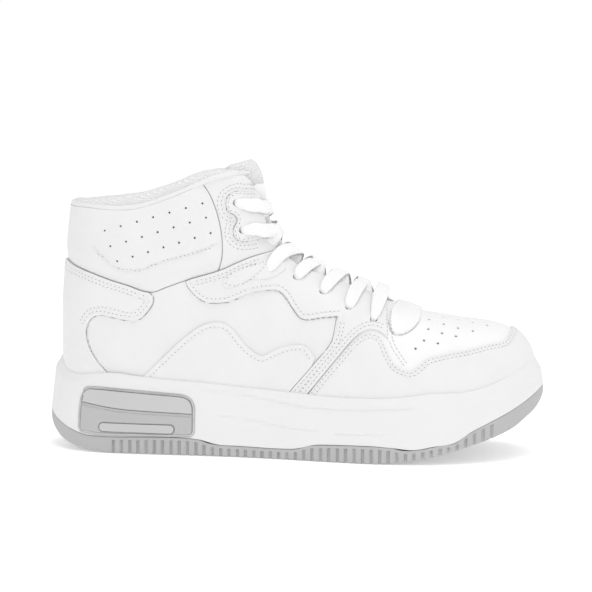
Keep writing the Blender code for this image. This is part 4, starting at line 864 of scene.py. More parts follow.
def add_panel(name, layer, finish, surface=FORM, radius=0.6, rows=(), holes=(), creases=(), grooves=(),
              groove_top=CLEAR_OF_ALL, puff=0.0, puff_width=10.0, uneven=0.12, nodes=None, slot="leather"):
    """A panel of the upper: its outline cut from the form, with rounded edges, sewn rows and holes."""
    data, triangles = cut_panel(surface, OUTLINES[name], rows, holes, creases, grooves)
    low, high = layer
    inwards = data[:, EDGE]
    top = high - edge_drop(inwards, radius) + puff * smoothstep(0.0, puff_width, inwards)
    top = top + waver(data[:, PLACE], uneven) * smoothstep(0.0, 3.0, inwards)
    for row in rows:
        top = top - STITCH_DIP * np.exp(-((inwards - row) / STITCH_DIP_WIDTH) ** 2)
    if creases:
        top = top - puff * CREASE_SHARE * np.exp(-(data[:, CREASE] / CREASE_WIDTH) ** 2)
    if grooves:
        reach = 1 - smoothstep(groove_top - GROOVE_FADE, groove_top, data[:, 2])
        top = top - GROOVE_DEPTH * (1 - smoothstep(*GROOVE_EDGE, data[:, GROOVE])) * reach
    if holes:
        top = top - edge_drop(data[:, HOLE], HOLE_ROUND)
    points, faces = closed_shell(data[:, PLACE], data[:, NORMAL], triangles, low, top)
    return mesh_object(name + ".skin", points, faces, finish, "shoe",
                       [name] if nodes is None else nodes, slot)


# ------------------------------------------------------------------ sewing and holes
def lens(sides, half_length, half_width, rim, top, bottom):
    """A thin closed lens: a rim of points, with a point above its middle and a point below."""
    points = []
    faces = []
    for k in range(sides):
        turn = 2 * math.pi * k / sides
        points.append((half_length * math.cos(turn), half_width * math.sin(turn), rim))
        after = (k + 1) % sides
        faces += [(k, after, sides), (after, k, sides + 1)]
    return np.array(points + [(0, 0, top), (0, 0, bottom)]), faces


def stitch():
    """One stitch: a short length of thread that dips into its two needle holes."""
    points = []
    for share, thick, rise in STITCH_SECTIONS:
        for k in range(THREAD_SIDES):
            turn = 2 * math.pi * k / THREAD_SIDES
            points.append((share * STITCH_HALF, math.cos(turn) * THREAD_RADIUS * thick,
                           math.sin(turn) * THREAD_RADIUS * thick + rise))
    return np.array(points), [face[::-1] for face in tube_faces(len(STITCH_SECTIONS), THREAD_SIDES)]


def laid(template, spots):
    """Copies of a small shape at many spots, each spot (place, direction, outward normal)."""
    shape, pattern = template
    points, faces = [], []
    for n, (place, ahead, normal) in enumerate(spots):
        across = np.cross(normal, ahead)
        points.append(place + shape[:, :1] * ahead + shape[:, 1:2] * across + shape[:, 2:] * normal)
        faces += [tuple(n * len(shape) + k for k in face) for face in pattern]
    return np.vstack(points), faces


def stitch_spots(rows, skin, shift):
    """The places of the stitches of some rows, on the nearest skin and moved along their row."""
    spots = []
    for path in rows:
        run = np.concatenate([[0.0], np.cumsum(np.linalg.norm(np.diff(path, axis=0), axis=1))])

        def at(marks):
            return np.stack([np.interp(marks, run, path[:, k]) for k in range(3)], axis=1)

        marks = np.arange(STITCH_PITCH / 2, run[-1], STITCH_PITCH)
        for here, ahead in zip(at(marks), at(marks + TANGENT_REACH) - at(marks - TANGENT_REACH)):
            place, normal, _, _ = skin.find_nearest(Vector(here))
            normal = np.array(normal)
            ahead = ahead - normal * ahead.dot(normal)
            ahead /= np.linalg.norm(ahead)
            spots.append((np.array(place) + ahead * shift, ahead, normal))
    return spots


def skin_tree(objects):
    """A search tree over the faces of some pieces, in millimetres."""
    points, faces = [], []
    for obj in objects:
        first = len(points)
        points += [v.co / MM for v in obj.data.vertices]
        faces += [[first + n for n in p.vertices] for p in obj.data.polygons]
    return BVHTree.FromPolygons(points, faces)


def sewn_row(points, side, inset, start=HEEL_X, end=TOE_X, lift=2.0):
    """A row beside a seam given in side view; a positive inset moves it down or forwards."""
    curve = smooth_through(points, 10)
    tangent = np.gradient(curve, axis=0)
    tangent /= np.linalg.norm(tangent, axis=1, keepdims=True)
    curve = curve + np.stack([tangent[:, 1], -tangent[:, 0]], axis=1) * inset
    curve = curve[(curve[:, 0] >= start) & (curve[:, 0] <= end)]
    mark = side_mark(curve[:, 0], curve[:, 1], side)
    mark = mark[(np.abs(mark[:, 1]) < GIRTH_END - 1) & (mark[:, 0] > HEEL_X) & (mark[:, 0] < TOE_X)]
    return form_point(mark[:, 0], mark[:, 1]) + form_normal(mark[:, 0], mark[:, 1]) * lift


def side_rows(side):
    """All the rows of stitching on one side of the upper."""
    rows = [sewn_row(seam, side, inset, start, end)
            for seam, insets, start, end in STITCHED_SEAMS for inset in insets]
    leaf = smooth_loop(LEAF, 6)
    rear = leaf[leaf[:, 0] < LEAF_STITCH_END][::6]
    inside = rear * LEAF_STITCH_SHARE + leaf.mean(axis=0) * (1 - LEAF_STITCH_SHARE)
    return rows + [sewn_row(inside, side, 0.0)]


def mudguard_rows():
    """The double row round the mudguard's inner edge, from side to side over the toe."""
    edge = smooth_through(across_ridge(MUDGUARD_REAR, MUDGUARD_TOE), 12)
    edge = edge[np.abs(edge[:, 1]) < GIRTH_END - 1]
    place, normal = form_point(edge[:, 0], edge[:, 1]), form_normal(edge[:, 0], edge[:, 1])
    outwards = np.cross(np.gradient(place, axis=0), normal)
    outwards /= np.linalg.norm(outwards, axis=1, keepdims=True)
    return [place + outwards * inset + normal * 2.0 for inset in MUDGUARD_STITCHING]


def add_stitching(skins):
    """Threads, and dark lenses between them as painted shade of the needle holes, in one piece for each
    side and one for the toe.
    """
    skin = skin_tree(skins)
    needle_hole_shade = lens(8, *NEEDLE_SHADE_LENS)
    for label, rows in (("lateral", side_rows(-1.0)), ("medial", side_rows(1.0)), ("toe", mudguard_rows())):
        mesh_object("stitches_" + label, *laid(stitch(), stitch_spots(rows, skin, 0.0)), THREAD)
        mesh_object("needle_hole_shades_" + label,
                    *laid(needle_hole_shade, stitch_spots(rows, skin, STITCH_PITCH / 2)), NEEDLE_SHADE)


def add_perforation_shades(places):
    """Painted shade in the perforations: a dark lens inside each hole, on both sides of the shoe."""
    spots = []
    for side, _ in SIDES:
        for x, z in places:
            mark = side_mark(x, z, side)
            normal = form_normal(*mark)
            across = np.cross(normal, (0.0, 0.0, 1.0))
            across /= np.linalg.norm(across)
            spots.append((form_point(*mark) - normal * PERFORATION_SHADE_DEPTH, across, normal))
    mesh_object("perforation_shades", *laid(lens(10, *PERFORATION_SHADE_LENS), spots), PERFORATION_SHADE)


# ------------------------------------------------------------------ sole unit
def inset_ring(loop, distance):
    """Moves a ring's points inwards, square to the ring seen from above."""
    tangent = (np.roll(loop, -1, axis=0) - np.roll(loop, 1, axis=0))[:, :2]
    tangent /= np.linalg.norm(tangent, axis=1, keepdims=True)
    moved = loop.copy()
    moved[:, 0] -= tangent[:, 1] * distance
    moved[:, 1] += tangent[:, 0] * distance
    return moved


def plan_ring(xs, lateral, medial, height):
    """Points round a plan outline: the lateral side from heel to toe, then the medial side back."""
    outer = np.stack([xs, lateral(xs), height(xs)], axis=1)
    inner = np.stack([xs, medial(xs), height(xs)], axis=1)[1:-1][::-1]
    return np.vstack([outer, inner])


def form_level(xs, height, offset):
    """A ring round the form at a height given along the foot, moved outwards by the offset."""
    tips = []
    for x in xs:
        near_toe = np.linspace(TOE_SEARCH_X, TOE_X, 400)
        above = near_toe[ridge_height(near_toe) >= float(height(x))]
        tips.append(above[-1] if len(above) else TOE_SEARCH_X)
    blend = smoothstep(60.0, TOE_X, xs)
    moved = xs - blend * (TOE_X - np.array(tips)) * (xs / TOE_X)
    moved = np.minimum(moved, np.array(tips))
    halves = []
    for side, _ in SIDES:
        mark = side_mark(moved, height(xs), side)
        halves.append(form_point(moved, mark[:, 1]))
    halves[0][:, 2] = halves[1][:, 2] = height(xs)
    for end in (0, -1):
        halves[1][end] = halves[0][end]
        halves[0][end, 1] = ridge_offset(moved[end])
    loop = np.vstack([halves[0], halves[1][1:-1][::-1]])
    return inset_ring(loop, -offset)


def capped_rings(rings):
    """Points and faces of a body of plan rings, closed below and above by strips across it."""
    count = len(rings[0])
    faces = ring_faces(len(rings), count)
    for base, turned in ((0, True), ((len(rings) - 1) * count, False)):
        for i in range(count // 2):
            corners = [base + i, base + i + 1, base + (count - i - 1) % count, base + (count - i) % count]
            face = [c for n, c in enumerate(corners) if c not in corners[:n]]
            faces.append(tuple(face[::-1] if turned else face))
    return np.vstack(rings), faces


def wall_rings():
    """The midsole's outer wall as three smooth rings: its foot, the shoulder and the lip."""
    foot = plan_ring(SOLE_STATIONS, sole_lateral, sole_medial, lambda x: outsole_edge(x) + PART_GAP)
    lip = form_level(UPPER_STATIONS, lip_height, CUP_CLEARANCE + LIP_WIDTH)
    shoulder = form_level(UPPER_STATIONS, lambda x: lip_height(x) - SHOULDER_DROP,
                          CUP_CLEARANCE + LIP_WIDTH)
    shoulder = shoulder * SHOULDER_SHARE + foot * (1 - SHOULDER_SHARE)
    shoulder[:, 2] = lip[:, 2] - SHOULDER_DROP
    return [smooth_loop(loop, WALL_STEPS) for loop in (foot, shoulder, lip)]


def wall_surface():
    """The wall as vertex data and triangles; its last column is the distance below the lip."""
    foot, shoulder, lip = wall_rings()
    corner = ((shoulder[:, 2] - foot[:, 2]) / (lip[:, 2] - foot[:, 2]))[:, None]

    def straight(share):
        lower = foot + (shoulder - foot) * np.clip(share / corner, 0, 1)
        upper = (lip - shoulder) * np.clip((share - corner) / (1 - corner), 0, 1)
        return lower + upper

    shares = np.concatenate([np.linspace(0, 0.93, WALL_ROWS - 4), [0.955, 0.975, 0.99, 1.0]])
    levels = []
    for share in shares:
        reach = CORNER_SHARE * min(1.0, share / CORNER_SHARE, (1 - share) / CORNER_SHARE)
        levels.append((straight(share - reach) + 2 * straight(share) + straight(share + reach)) / 4)
    points = np.vstack(levels)
    quads = np.array(ring_faces(len(shares), len(foot)))
    triangles = np.vstack([quads[:, [0, 1, 2]], quads[:, [0, 2, 3]]])
    below_lip = (np.tile(lip[:, 2], len(shares)) - points[:, 2])[:, None]
    return np.hstack([points, vertex_normals(points, triangles), points[:, [0, 2]], below_lip]), triangles


# The columns of the wall's data after its chart.
BELOW_LIP, LEDGE, LINES, INSERT_EDGE = 8, 9, 10, 11
RIM, STEP, SLOT = 9, 10, 11


def flat_distance(places, lines):
    """Distance in side view from each place to the nearest of some polylines."""
    return distance_to_lines(places * (1.0, 0.0, 1.0), [np.insert(line, 1, 0.0, axis=1) for line in lines])


def side_distance(places, lines):
    """Distance in side view to the nearest of some smooth lines."""
    return flat_distance(places, [smooth_through(line, 8) for line in lines])


def rounded_corners(corners, radius, steps=5):
    """A closed outline with its corners rounded off."""
    corners = np.array(corners, float)
    made = []
    for before, here, after in zip(np.roll(corners, 1, axis=0), corners, np.roll(corners, -1, axis=0)):
        back, ahead = before - here, after - here
        cut = min(radius, 0.45 * np.linalg.norm(back), 0.45 * np.linalg.norm(ahead))
        start = here + back / np.linalg.norm(back) * cut
        end = here + ahead / np.linalg.norm(ahead) * cut
        for t in np.linspace(0, 1, steps):
            made.append((1 - t) ** 2 * start + 2 * t * (1 - t) * here + t ** 2 * end)
    return np.array(made)


def insert_depth(places):
    """Signed distance in side view to the heel insert's outline, positive inside."""
    outline = rounded_corners(HEEL_INSERT, INSERT_CORNER)
    distance = flat_distance(places, [np.vstack([outline, outline[:1]])])
    return np.where(inside_polygon(places[:, [0, 2]], outline), distance, -distance)


def add_midsole(surface):
    """The cup wall, with its rounded lip, moulded lines and the groove round each heel insert."""
    data, triangles = surface
    places = data[:, PLACE]
    data = np.column_stack([data, side_distance(places, [MIDSOLE_LEDGE]),
                            side_distance(places, MIDSOLE_LINES), insert_depth(places)])
    for column, levels in ((LEDGE, (0.35, 0.9)), (LINES, (0.3, 0.8)),
                           (INSERT_EDGE, (-1.5, -1.1, -0.5, 0.0))):
        data, triangles = split_levels(data, triangles, column, levels)
    x, below_lip, around = data[:, 0], data[:, BELOW_LIP], data[:, INSERT_EDGE]
    ends = np.maximum(smoothstep(*TOE_FEATHER, x), 1 - smoothstep(*HEEL_FEATHER, x))
    feather = 1 - smoothstep(0.0, LIP_FEATHER_WIDTH + 2.5 * ends, below_lip)
    top = -edge_drop(below_lip, LIP_ROUND) - (LIP_FEATHER + ends) * feather
    fade = smoothstep(-60.0, -46.0, x) * (1 - smoothstep(66.0, 80.0, x))
    top = top - LEDGE_DEPTH * (1 - smoothstep(0.2, 1.0, data[:, LEDGE])) * fade
    top = top - LINE_DEPTH * (1 - smoothstep(0.2, 0.8, data[:, LINES]))
    top = top - INSERT_GROOVE * smoothstep(-1.5, -0.9, around) * (1 - smoothstep(-0.1, 0.4, around))
    points, faces = closed_shell(data[:, PLACE], data[:, NORMAL], triangles, -WALL_THICKNESS, top)
    mesh_object("midsole.skin", points, faces, MIDSOLE, "shoe", ["midsole"], "midsole", 50.0)


def insert_fields(places):
    """For places on the heel insert: depth in its outline, height over its step, distance to its slot."""
    step = smooth_through(INSERT_STEP, 10)
    return (insert_depth(places), places[:, 2] - np.interp(places[:, 0], step[:, 0], step[:, 1]),
            side_distance(places, [INSERT_SLOT]) - SLOT_RADIUS)


def add_insert(surface, side, label):
    """The grey moulded panel beside the heel: an upper band, a lower field and a long slot."""
    data, triangles = surface
    keep = (data[triangles, 1] * side > 3).all(axis=1) & (data[triangles, 0] < -45).all(axis=1)
    data, triangles = compact(data, triangles[keep])
    data, triangles = refined(data, triangles, lambda p: np.ones(len(p), bool))
    data = np.column_stack([data, *insert_fields(data[:, PLACE])])
    data, triangles = split_at(data, triangles, RIM, INSERT_GAP, keep_above=True)
    for column, levels in ((RIM, (0.25, 0.5, 0.9)), (STEP, (-2.3, -1.7, -1.1, -0.5, 0.0, 0.5)),
                           (SLOT, (-SLOT_LINE, 0.0, SLOT_LINE))):
        data, triangles = split_levels(data, triangles, column, levels)
    rim, step, slot = data[:, RIM], data[:, STEP], data[:, SLOT]
    top = INSERT_LAYER[1] - edge_drop(rim - INSERT_GAP, 0.8)
    top = top - 0.55 * (1 - smoothstep(-0.5, 0.5, step))
    for depth, place, width, field in ((0.5, 0.0, 0.35, step), (0.45, -1.7, 0.35, step),
                                       (0.6, 0.0, 0.3, slot)):
        top = top - depth * np.exp(-((field - place) / width) ** 2)
    points, faces = closed_shell(data[:, PLACE], data[:, NORMAL], triangles, INSERT_LAYER[0], top)
    made = mesh_object(f"heel_insert_{label}.skin", points, faces, INSERT, "shoe",
                       ["heel_insert_" + label], "insert", 50.0)
    made.data.materials.append(INSERT_BAND)
    made.data.materials.append(INSERT_SHADE)
    # Faces along the gap round the rim, the groove under the step and the slot's edge get the dark third
    # material: painted shade in these grooves.
    rim, step, slot = insert_fields(np.array([face.center for face in made.data.polygons]) / MM)
    pale = (step > 0) | (slot < 0)
    line = (abs(rim) < 0.5) | ((step > -0.5) & (step < 0)) | ((slot > -SLOT_LINE) & (slot < 0))
    made.data.polygons.foreach_set("material_index", np.where(line, 2, np.where(pale, 1, 0)))


def add_outsole():
    """The rubber outsole: a band with upright ribs, turned under the shoe into bars."""
    flat = plan_ring(SOLE_STATIONS, sole_lateral, sole_medial, np.zeros_like)
    base = smooth_loop(flat, OUTSOLE_STEPS)
    x = base[:, 0]
    nearest = np.clip(np.round((x - RIB_START) / RIB_PITCH), 0, RIB_COUNT)
    from_groove = np.abs(x - RIB_START - RIB_PITCH * nearest)
    groove = 1 - smoothstep(RIB_GROOVE * 0.55, RIB_GROOVE * 1.15, from_groove)
    rings = []
    for inset, rise, ribbed in GROUND_RINGS:
        under = inset > RIB_DEPTH
        loop = inset_ring(base, inset + (0.0 if under else groove * ribbed * RIB_DEPTH))
        loop[:, 2] = sole_bottom(loop[:, 0]) + (groove * ribbed * BAR_DEPTH if under else 0.0) + rise
        rings.append(loop)
    for inset, drop, ribbed in EDGE_RINGS:
        loop = inset_ring(base, inset + groove * ribbed * RIB_DEPTH)
        loop[:, 2] = np.maximum(outsole_edge(x) - drop, sole_bottom(loop[:, 0]) + THINNEST_EDGE)
        rings.append(loop)
    mesh_object("outsole.skin", *capped_rings(rings), RUBBER, "shoe", ["outsole"], "outsole", 35.0)


def add_sock_liner():
    """The footbed: a soft sheet with a raised rim, on its own body."""
    rim = plan_ring(UPPER_STATIONS, upper_lateral, upper_medial, board_height)
    rim = smooth_loop(inset_ring(rim, LINER_INSET), 6)
    middle = (rim + np.roll(rim[::-1], 1, axis=0)) / 2
    rings = []
    for share, rise in LINER_RINGS:
        loop = middle + (rim - middle) * share
        loop[:, 2] = rim[:, 2] + rise
        rings.append(loop)
    made = mesh_object("sock_liner.skin", *capped_rings(rings), LINING, "footbed", ["sock_liner"],
                       "lining", 60.0)
    low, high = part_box("sock_liner")
    top = max(v.co.z for v in made.data.vertices)
    if not low.z <= top <= high.z + LINER_SPARE * MM:
        raise ValueError("the footbed has left its place in the frame")


# ------------------------------------------------------------------ collar binding
def topline_path(end_x, steps):
    """Places along the topline, round the heel from one side to the other, with outward normals."""
    xs = np.append(UPPER_STATIONS[UPPER_STATIONS < end_x - 2], end_x)
    path = []
    for side, _ in SIDES:
        girth = side * topline_girth(xs)
        here = form_point(xs, girth)
        ahead = form_point(xs + 0.5, girth) - here
        up = form_point(xs, girth - side) - here
        normal = np.cross(ahead, up) * -side
        normal /= np.linalg.norm(normal, axis=1, keepdims=True)
        normal[0] = (-1, 0, 0)
        path.append(np.column_stack([here, normal, xs]))
    path = smooth_through(np.vstack([path[0][::-1], path[1][1:]]), steps)
    normal = path[:, 3:6] / np.linalg.norm(path[:, 3:6], axis=1, keepdims=True)
    return path[:, :3], normal, path[:, 6]


def add_roll(name, place, normal, sections, finish, slot):
    """A closed roll along the topline, from its section in (out, up) at each place."""
    points = []
    for n, (here, out, section) in enumerate(zip(place, normal, sections)):
        from_end = min(n, len(place) - 1 - n)
        grow = max(ROLL_TIP, math.sqrt(1 - (1 - min(1.0, from_end / ROLL_TAPER)) ** 2))
        middle = section.mean(axis=0)
        for outwards, upwards in middle + (section - middle) * grow:
            points.append(here + out * outwards + np.array([0, 0, upwards]))
    faces = tube_faces(len(place), len(sections[0]))
    mesh_object(name, points, faces, finish, "shoe", ["collar_binding"], slot, 60)


def add_collar_binding():
    """The leather band along the topline and the mesh roll that stands up behind it."""
    place, normal, _ = topline_path(COLLAR_BAND_END_X, 8)
    band = smooth_loop(COLLAR_BAND, 3)
    add_roll("collar_band.skin", place, normal, [band] * len(place), LEATHER, "leather")
    place, normal, xs = topline_path(COLLAR_ROLL_END_X, 10)
    roll = smooth_loop(COLLAR_ROLL, 4)
    uneven = COLLAR_UNEVEN * np.sin(place[:, 0] / 6.3) * np.cos(place[:, 1] / 8.1)
    depths, rises = profile(COLLAR_DEPTH)(xs), profile(COLLAR_RISE)(xs) + uneven
    sections = [roll * (-depth, rise) + COLLAR_ROLL_PLACE for depth, rise in zip(depths, rises)]
    add_roll("collar_roll.skin", place, normal, sections, LINING, "lining")


# ------------------------------------------------------------------ tongue
def form_width(x, z, side):
    """Distance from the ridge plane to the form at a place in side view."""
    mark = side_mark(x, z, side)
    return np.abs(form_point(mark[..., 0], mark[..., 1])[..., 1] - ridge_offset(mark[..., 0]))


def tongue_surface():
    """The tongue's middle surface: sections square to the ridge, with normals and edge distances."""
    up, s = np.meshgrid(np.linspace(0, 1, TONGUE_ROWS + 1), np.linspace(-1, 1, TONGUE_COLUMNS + 1),
                        indexing="ij")
    up = up * (1 - TONGUE_CORNER * smoothstep(0.6, 1.0, np.abs(s)) ** 2)
    x = TONGUE_BASE_X * (1 - up) + (TONGUE_TOP_X - TONGUE_TOP_SWEEP * s ** 2) * up
    slope = ridge_height(x + 0.5) - ridge_height(x - 0.5)
    inward = np.stack([slope, -np.ones_like(slope)], axis=-1) / np.hypot(slope, 1.0)[..., None]
    half_of, side = profile(TONGUE_HALF_WIDTH), np.where(s < 0, -1.0, 1.0)
    target = np.abs(s) * half_of(x)
    low, high = np.zeros_like(x), np.full_like(x, TONGUE_SEARCH)
    for _ in range(30):
        middle = (low + high) / 2
        narrow = form_width(x + inward[..., 0] * middle, ridge_height(x) + inward[..., 1] * middle,
                            side) < target
        low, high = np.where(narrow, middle, low), np.where(narrow, high, middle)
    points = np.stack([x + inward[..., 0] * low, ridge_offset(x) + side * target,
                       ridge_height(x) + inward[..., 1] * low], axis=-1).reshape(-1, 3)
    columns = TONGUE_COLUMNS + 1
    i, j = np.meshgrid(np.arange(TONGUE_ROWS), np.arange(TONGUE_COLUMNS), indexing="ij")
    a = (i * columns + j).ravel()
    triangles = np.vstack([np.stack([a, a + 1, a + columns + 1], 1),
                           np.stack([a, a + columns + 1, a + columns], 1)])
    normals = vertex_normals(points, triangles)
    if normals[columns // 2, 2] < 0:
        triangles, normals = triangles[:, ::-1], -normals
    across, station = target.ravel(), x.ravel()
    fade = smoothstep(*TONGUE_HUMP, across)
    offset = profile(TONGUE_CENTRE_OFFSET)(station) * (1 - fade)
    offset = offset + profile(TONGUE_EDGE_OFFSET)(station) * fade
    surface = points + normals * offset[:, None]
    steps = np.linalg.norm(np.diff(surface.reshape(TONGUE_ROWS + 1, columns, 3), axis=0), axis=2)
    run = np.vstack([np.zeros((1, columns)), np.cumsum(steps, axis=0)])
    to_side, to_top = half_of(station) - across, (run[-1] - run).ravel()
    return surface, vertex_normals(surface, triangles), triangles, to_side, to_top, station


def add_tongue():
    """A padded tongue: a leather face, a soft lining, and a mesh band rolled over its top."""
    surface, normals, triangles, to_side, to_top, station = tongue_surface()
    rim = np.minimum(to_side, to_top)
    under_lace = smoothstep(*TONGUE_UNDER_LACE, station)
    puff = smoothstep(0.0, 7.0, rim) * (1.1 - 1.7 * under_lace) + waver(surface, 0.15)
    crown = puff - 0.8 * np.exp(-((to_top - TONGUE_BAND) / 0.9) ** 2)
    face = np.where(to_top > TONGUE_BAND - 0.8, crown - edge_drop(rim, 1.0), -1.1)
    band = np.where(to_top < TONGUE_BAND + 1.0, crown + 0.15 - edge_drop(rim, 1.2),
                    -1.6 - edge_drop(rim, 1.8))
    bulge = edge_drop(rim, 1.0) - 6.1 - 0.5 * smoothstep(0.0, 7.0, rim)
    for name, node, low, high, finish, slot in (
            ("tongue_face.skin", "tongue_face", -1.2, face, TOP_LIT_LEATHER, "leather"),
            ("tongue_padding.skin", "tongue_foam", -4.9, np.maximum(band, -3.2), LINING, "lining"),
            ("tongue_lining.skin", "tongue_lining", bulge, -4.7, LINING, "lining")):
        points, faces = closed_shell(surface, normals, triangles, low, high)
        mesh_object(name, points, faces, finish, "tongue", [node], slot, 60)


# ------------------------------------------------------------------ laces
def ribbon(marks, lifts, widths, thick):
    """A flat lace along marks on the form, each lifted off it and given a width and a thickness."""
    table = smooth_through(np.column_stack([marks, lifts, widths, thick]), 9)
    girth = table[:, 1]
    off_ridge = np.where(np.abs(girth) < 1.0, np.where(girth < 0, -1.0, 1.0), girth)
    normal = form_normal(table[:, 0], off_ridge)
    for _ in range(6):
        normal[1:-1] = (normal[:-2] + 2 * normal[1:-1] + normal[2:]) / 4
    normal /= np.linalg.norm(normal, axis=1, keepdims=True)
    centre = form_point(table[:, 0], girth) + normal * table[:, 2:3]
    tangent = np.gradient(centre, axis=0)
    tangent /= np.linalg.norm(tangent, axis=1, keepdims=True)
    across = np.cross(normal, tangent)
    across /= np.linalg.norm(across, axis=1, keepdims=True)
    run = np.concatenate([[0.0], np.cumsum(np.linalg.norm(np.diff(centre, axis=0), axis=1))])
    points, weave = [], []
    for place, side, up, row, gone in zip(centre, across, np.cross(tangent, across), table, run):
        for wide, tall in LACE_SECTION:
            points.append(place + side * wide * row[3] / 2 + up * tall * row[4])
            weave.append((wide * row[3] / 2 / WEAVE_UNIT, gone / WEAVE_UNIT, 0.0))
    return points, tube_faces(len(centre), len(LACE_SECTION)), weave


def seen_straight(start, end, shares, side):
    """Marks on a strand that looks straight from the side, between two places in side view."""
    (x0, z0), (x1, z1) = start, end
    return [side_mark(x0 + (x1 - x0) * share, z0 + (z1 - z0) * share, side) for share in shares]


def lace_run(row, side):
    """One run: out of an eyelet, over the eyestay, across the ridge and under the other eyestay."""
    x0, g0 = side_mark(*EYELETS[row], side)
    x1, g1 = side_mark(*EYELETS[row + 1], -side)
    cross_x = LACE_CROSSINGS[row]
    on_top = (row % 2 == 0) == (side < 0)
    crest = LACE_CREST[row] - (0.2 if on_top else LACE_THICKNESS + 0.3)
    before = [(x0 + (cross_x - x0) * share, g0 * girth) for share, girth in LACE_BEFORE_RIDGE]
    after = [(cross_x + (x1 - cross_x) * share, g1 * girth) for share, girth in LACE_AFTER_RIDGE]
    if row < STRAIGHT_RUNS:
        crossing = (cross_x, float(ridge_height(cross_x)))
        before = seen_straight(EYELETS[row], crossing, (0.2, 0.5, 0.8), side)
        after = seen_straight(crossing, EYELETS[row + 1], (0.25, 0.5, 0.75), -side)
    marks = [(x0 - 0.5, g0 * 1.01), (x0 - 0.2, g0)] + before + [(cross_x, 0.0)] + after
    lifts = [-2.6, 0.4, OVER_EYESTAY + 0.35, OVER_EYESTAY + 0.7, (OVER_EYESTAY + crest) / 2 + 0.7, crest,
             crest * 0.4 - 0.6, -3.0, UNDER_EYESTAY]
    widths = [3.2, 4.2, 6.6] + [LACE_WIDTH] * 4 + [LACE_WIDTH * 0.9, 5.0]
    thick = [1.6, 1.8, 1.9] + [LACE_THICKNESS] * 4 + [1.3, 1.3]
    return marks, lifts, widths, thick


def lowest_run():
    """The straight run across the last pair of eyelets, the same on both sides."""
    marks, last = [], len(EYELETS) - 1
    for side, _ in SIDES:
        x, girth = side_mark(*EYELETS[last], side)
        half = [(x + ahead, girth * share) for ahead, share in LACE_LAST_HALF]
        marks += half if side < 0 else [(LACE_CROSSINGS[last], 0.0)] + half[::-1]

    def both(values, middle):
        return values + [middle] + values[::-1]

    return (marks, both([-2.6, 0.4, OVER_EYESTAY + 0.3, OVER_EYESTAY + 0.8], LACE_CREST[last]),
            both([3.0, 3.4, 5.4, LACE_WIDTH], LACE_WIDTH),
            both([1.6, 1.8, 1.9, LACE_THICKNESS], LACE_THICKNESS))


def add_laces():
    """Crossed laces: each run leaves one eyelet and dives under the eyestay on the other side."""
    runs = [lace_run(row, side) for row in range(len(EYELETS) - 1) for side, _ in SIDES] + [lowest_run()]
    points, faces, weave = [], [], []
    for run in runs:
        more_points, more_faces, more_weave = ribbon(*run)
        faces += [tuple(len(points) + n for n in face) for face in more_faces]
        points += more_points
        weave += more_weave
    made = mesh_object("lace.skin", points, faces, LACE, "shoe", ["lace"], "lace", 60)
    layer = made.data.attributes.new("weave", 'FLOAT_VECTOR', 'POINT')
    layer.data.foreach_set("vector", np.array(weave, np.float32).ravel())


# ------------------------------------------------------------------ materials
class Shader:
    """A node material that is written from its texture coordinates to its Principled shader."""

    def __init__(self, name, value, roughness, specular=0.5, sheen=0.0):
        self.material = bpy.data.materials.new(name)
        self.material.use_nodes = True
        self.colour = value if isinstance(value, tuple) else (value, value, value)
        self.material.diffuse_color = (*self.colour, 1.0)
        self.nodes = self.material.node_tree.nodes
        self.links = self.material.node_tree.links
        self.shader = self.nodes["Principled BSDF"]
        self.shader.inputs["Base Color"].default_value = (*self.colour, 1.0)
        self.shader.inputs["Roughness"].default_value = roughness
        self.shader.inputs["Specular IOR Level"].default_value = specular
        if sheen:
            self.shader.inputs["Sheen Weight"].default_value = sheen
            self.shader.inputs["Sheen Roughness"].default_value = 0.5
        self.where = self.nodes.new("ShaderNodeTexCoord").outputs["Object"]

    def node(self, kind, inputs=(), **settings):
        made = self.nodes.new(kind)
        for key, value in settings.items():
            setattr(made, key, value)
        for key, value in dict(inputs).items():
            if isinstance(value, bpy.types.NodeSocket):
                self.links.new(value, made.inputs[key])
            else:
                made.inputs[key].default_value = value
        return made

    def noise(self, size, detail=2.0):
        """Cloudy values about 0.5, with features of the given size in metres."""
        return self.node("ShaderNodeTexNoise", {"Vector": self.where, "Scale": 1.0 / size,
                                                "Detail": detail}).outputs["Fac"]

    def cells(self, size, feature='F1'):
        """Distances in a pattern of cells of the given size in metres."""
        return self.node("ShaderNodeTexVoronoi", {"Vector": self.where, "Scale": 1.0 / size},
                         feature=feature).outputs["Distance"]

    def math(self, operation, a, b=0.5):
        return self.node("ShaderNodeMath", {0: a, 1: b}, operation=operation).outputs[0]

    def between(self, value, low, high, from_low=0.3, from_high=0.7):
        """Maps one range of values to another."""
        return self.node("ShaderNodeMapRange", {"Value": value, "From Min": from_low, "From Max": from_high,
                                                "To Min": low, "To Max": high}).outputs["Result"]

    def shade(self, value, darker):
        """Varies the base colour down to a darker share of itself."""
        mix = self.node("ShaderNodeMix", {0: value, 6: (*(c * darker for c in self.colour), 1.0),
                                          7: (*self.colour, 1.0)}, data_type='RGBA')
        self.links.new(mix.outputs[2], self.shader.inputs["Base Color"])

    def rough(self, value):
        self.links.new(value, self.shader.inputs["Roughness"])

    def bumps(self, *layers):
        """Stacks bump layers, each (height, strength, depth in metres)."""
        normal = None
        for height, strength, depth in layers:
            inputs = {"Height": height, "Strength": strength, "Distance": depth}
            if normal is not None:
                inputs["Normal"] = normal
            normal = self.node("ShaderNodeBump", inputs).outputs["Normal"]
        self.links.new(normal, self.shader.inputs["Normal"])
        return self.material


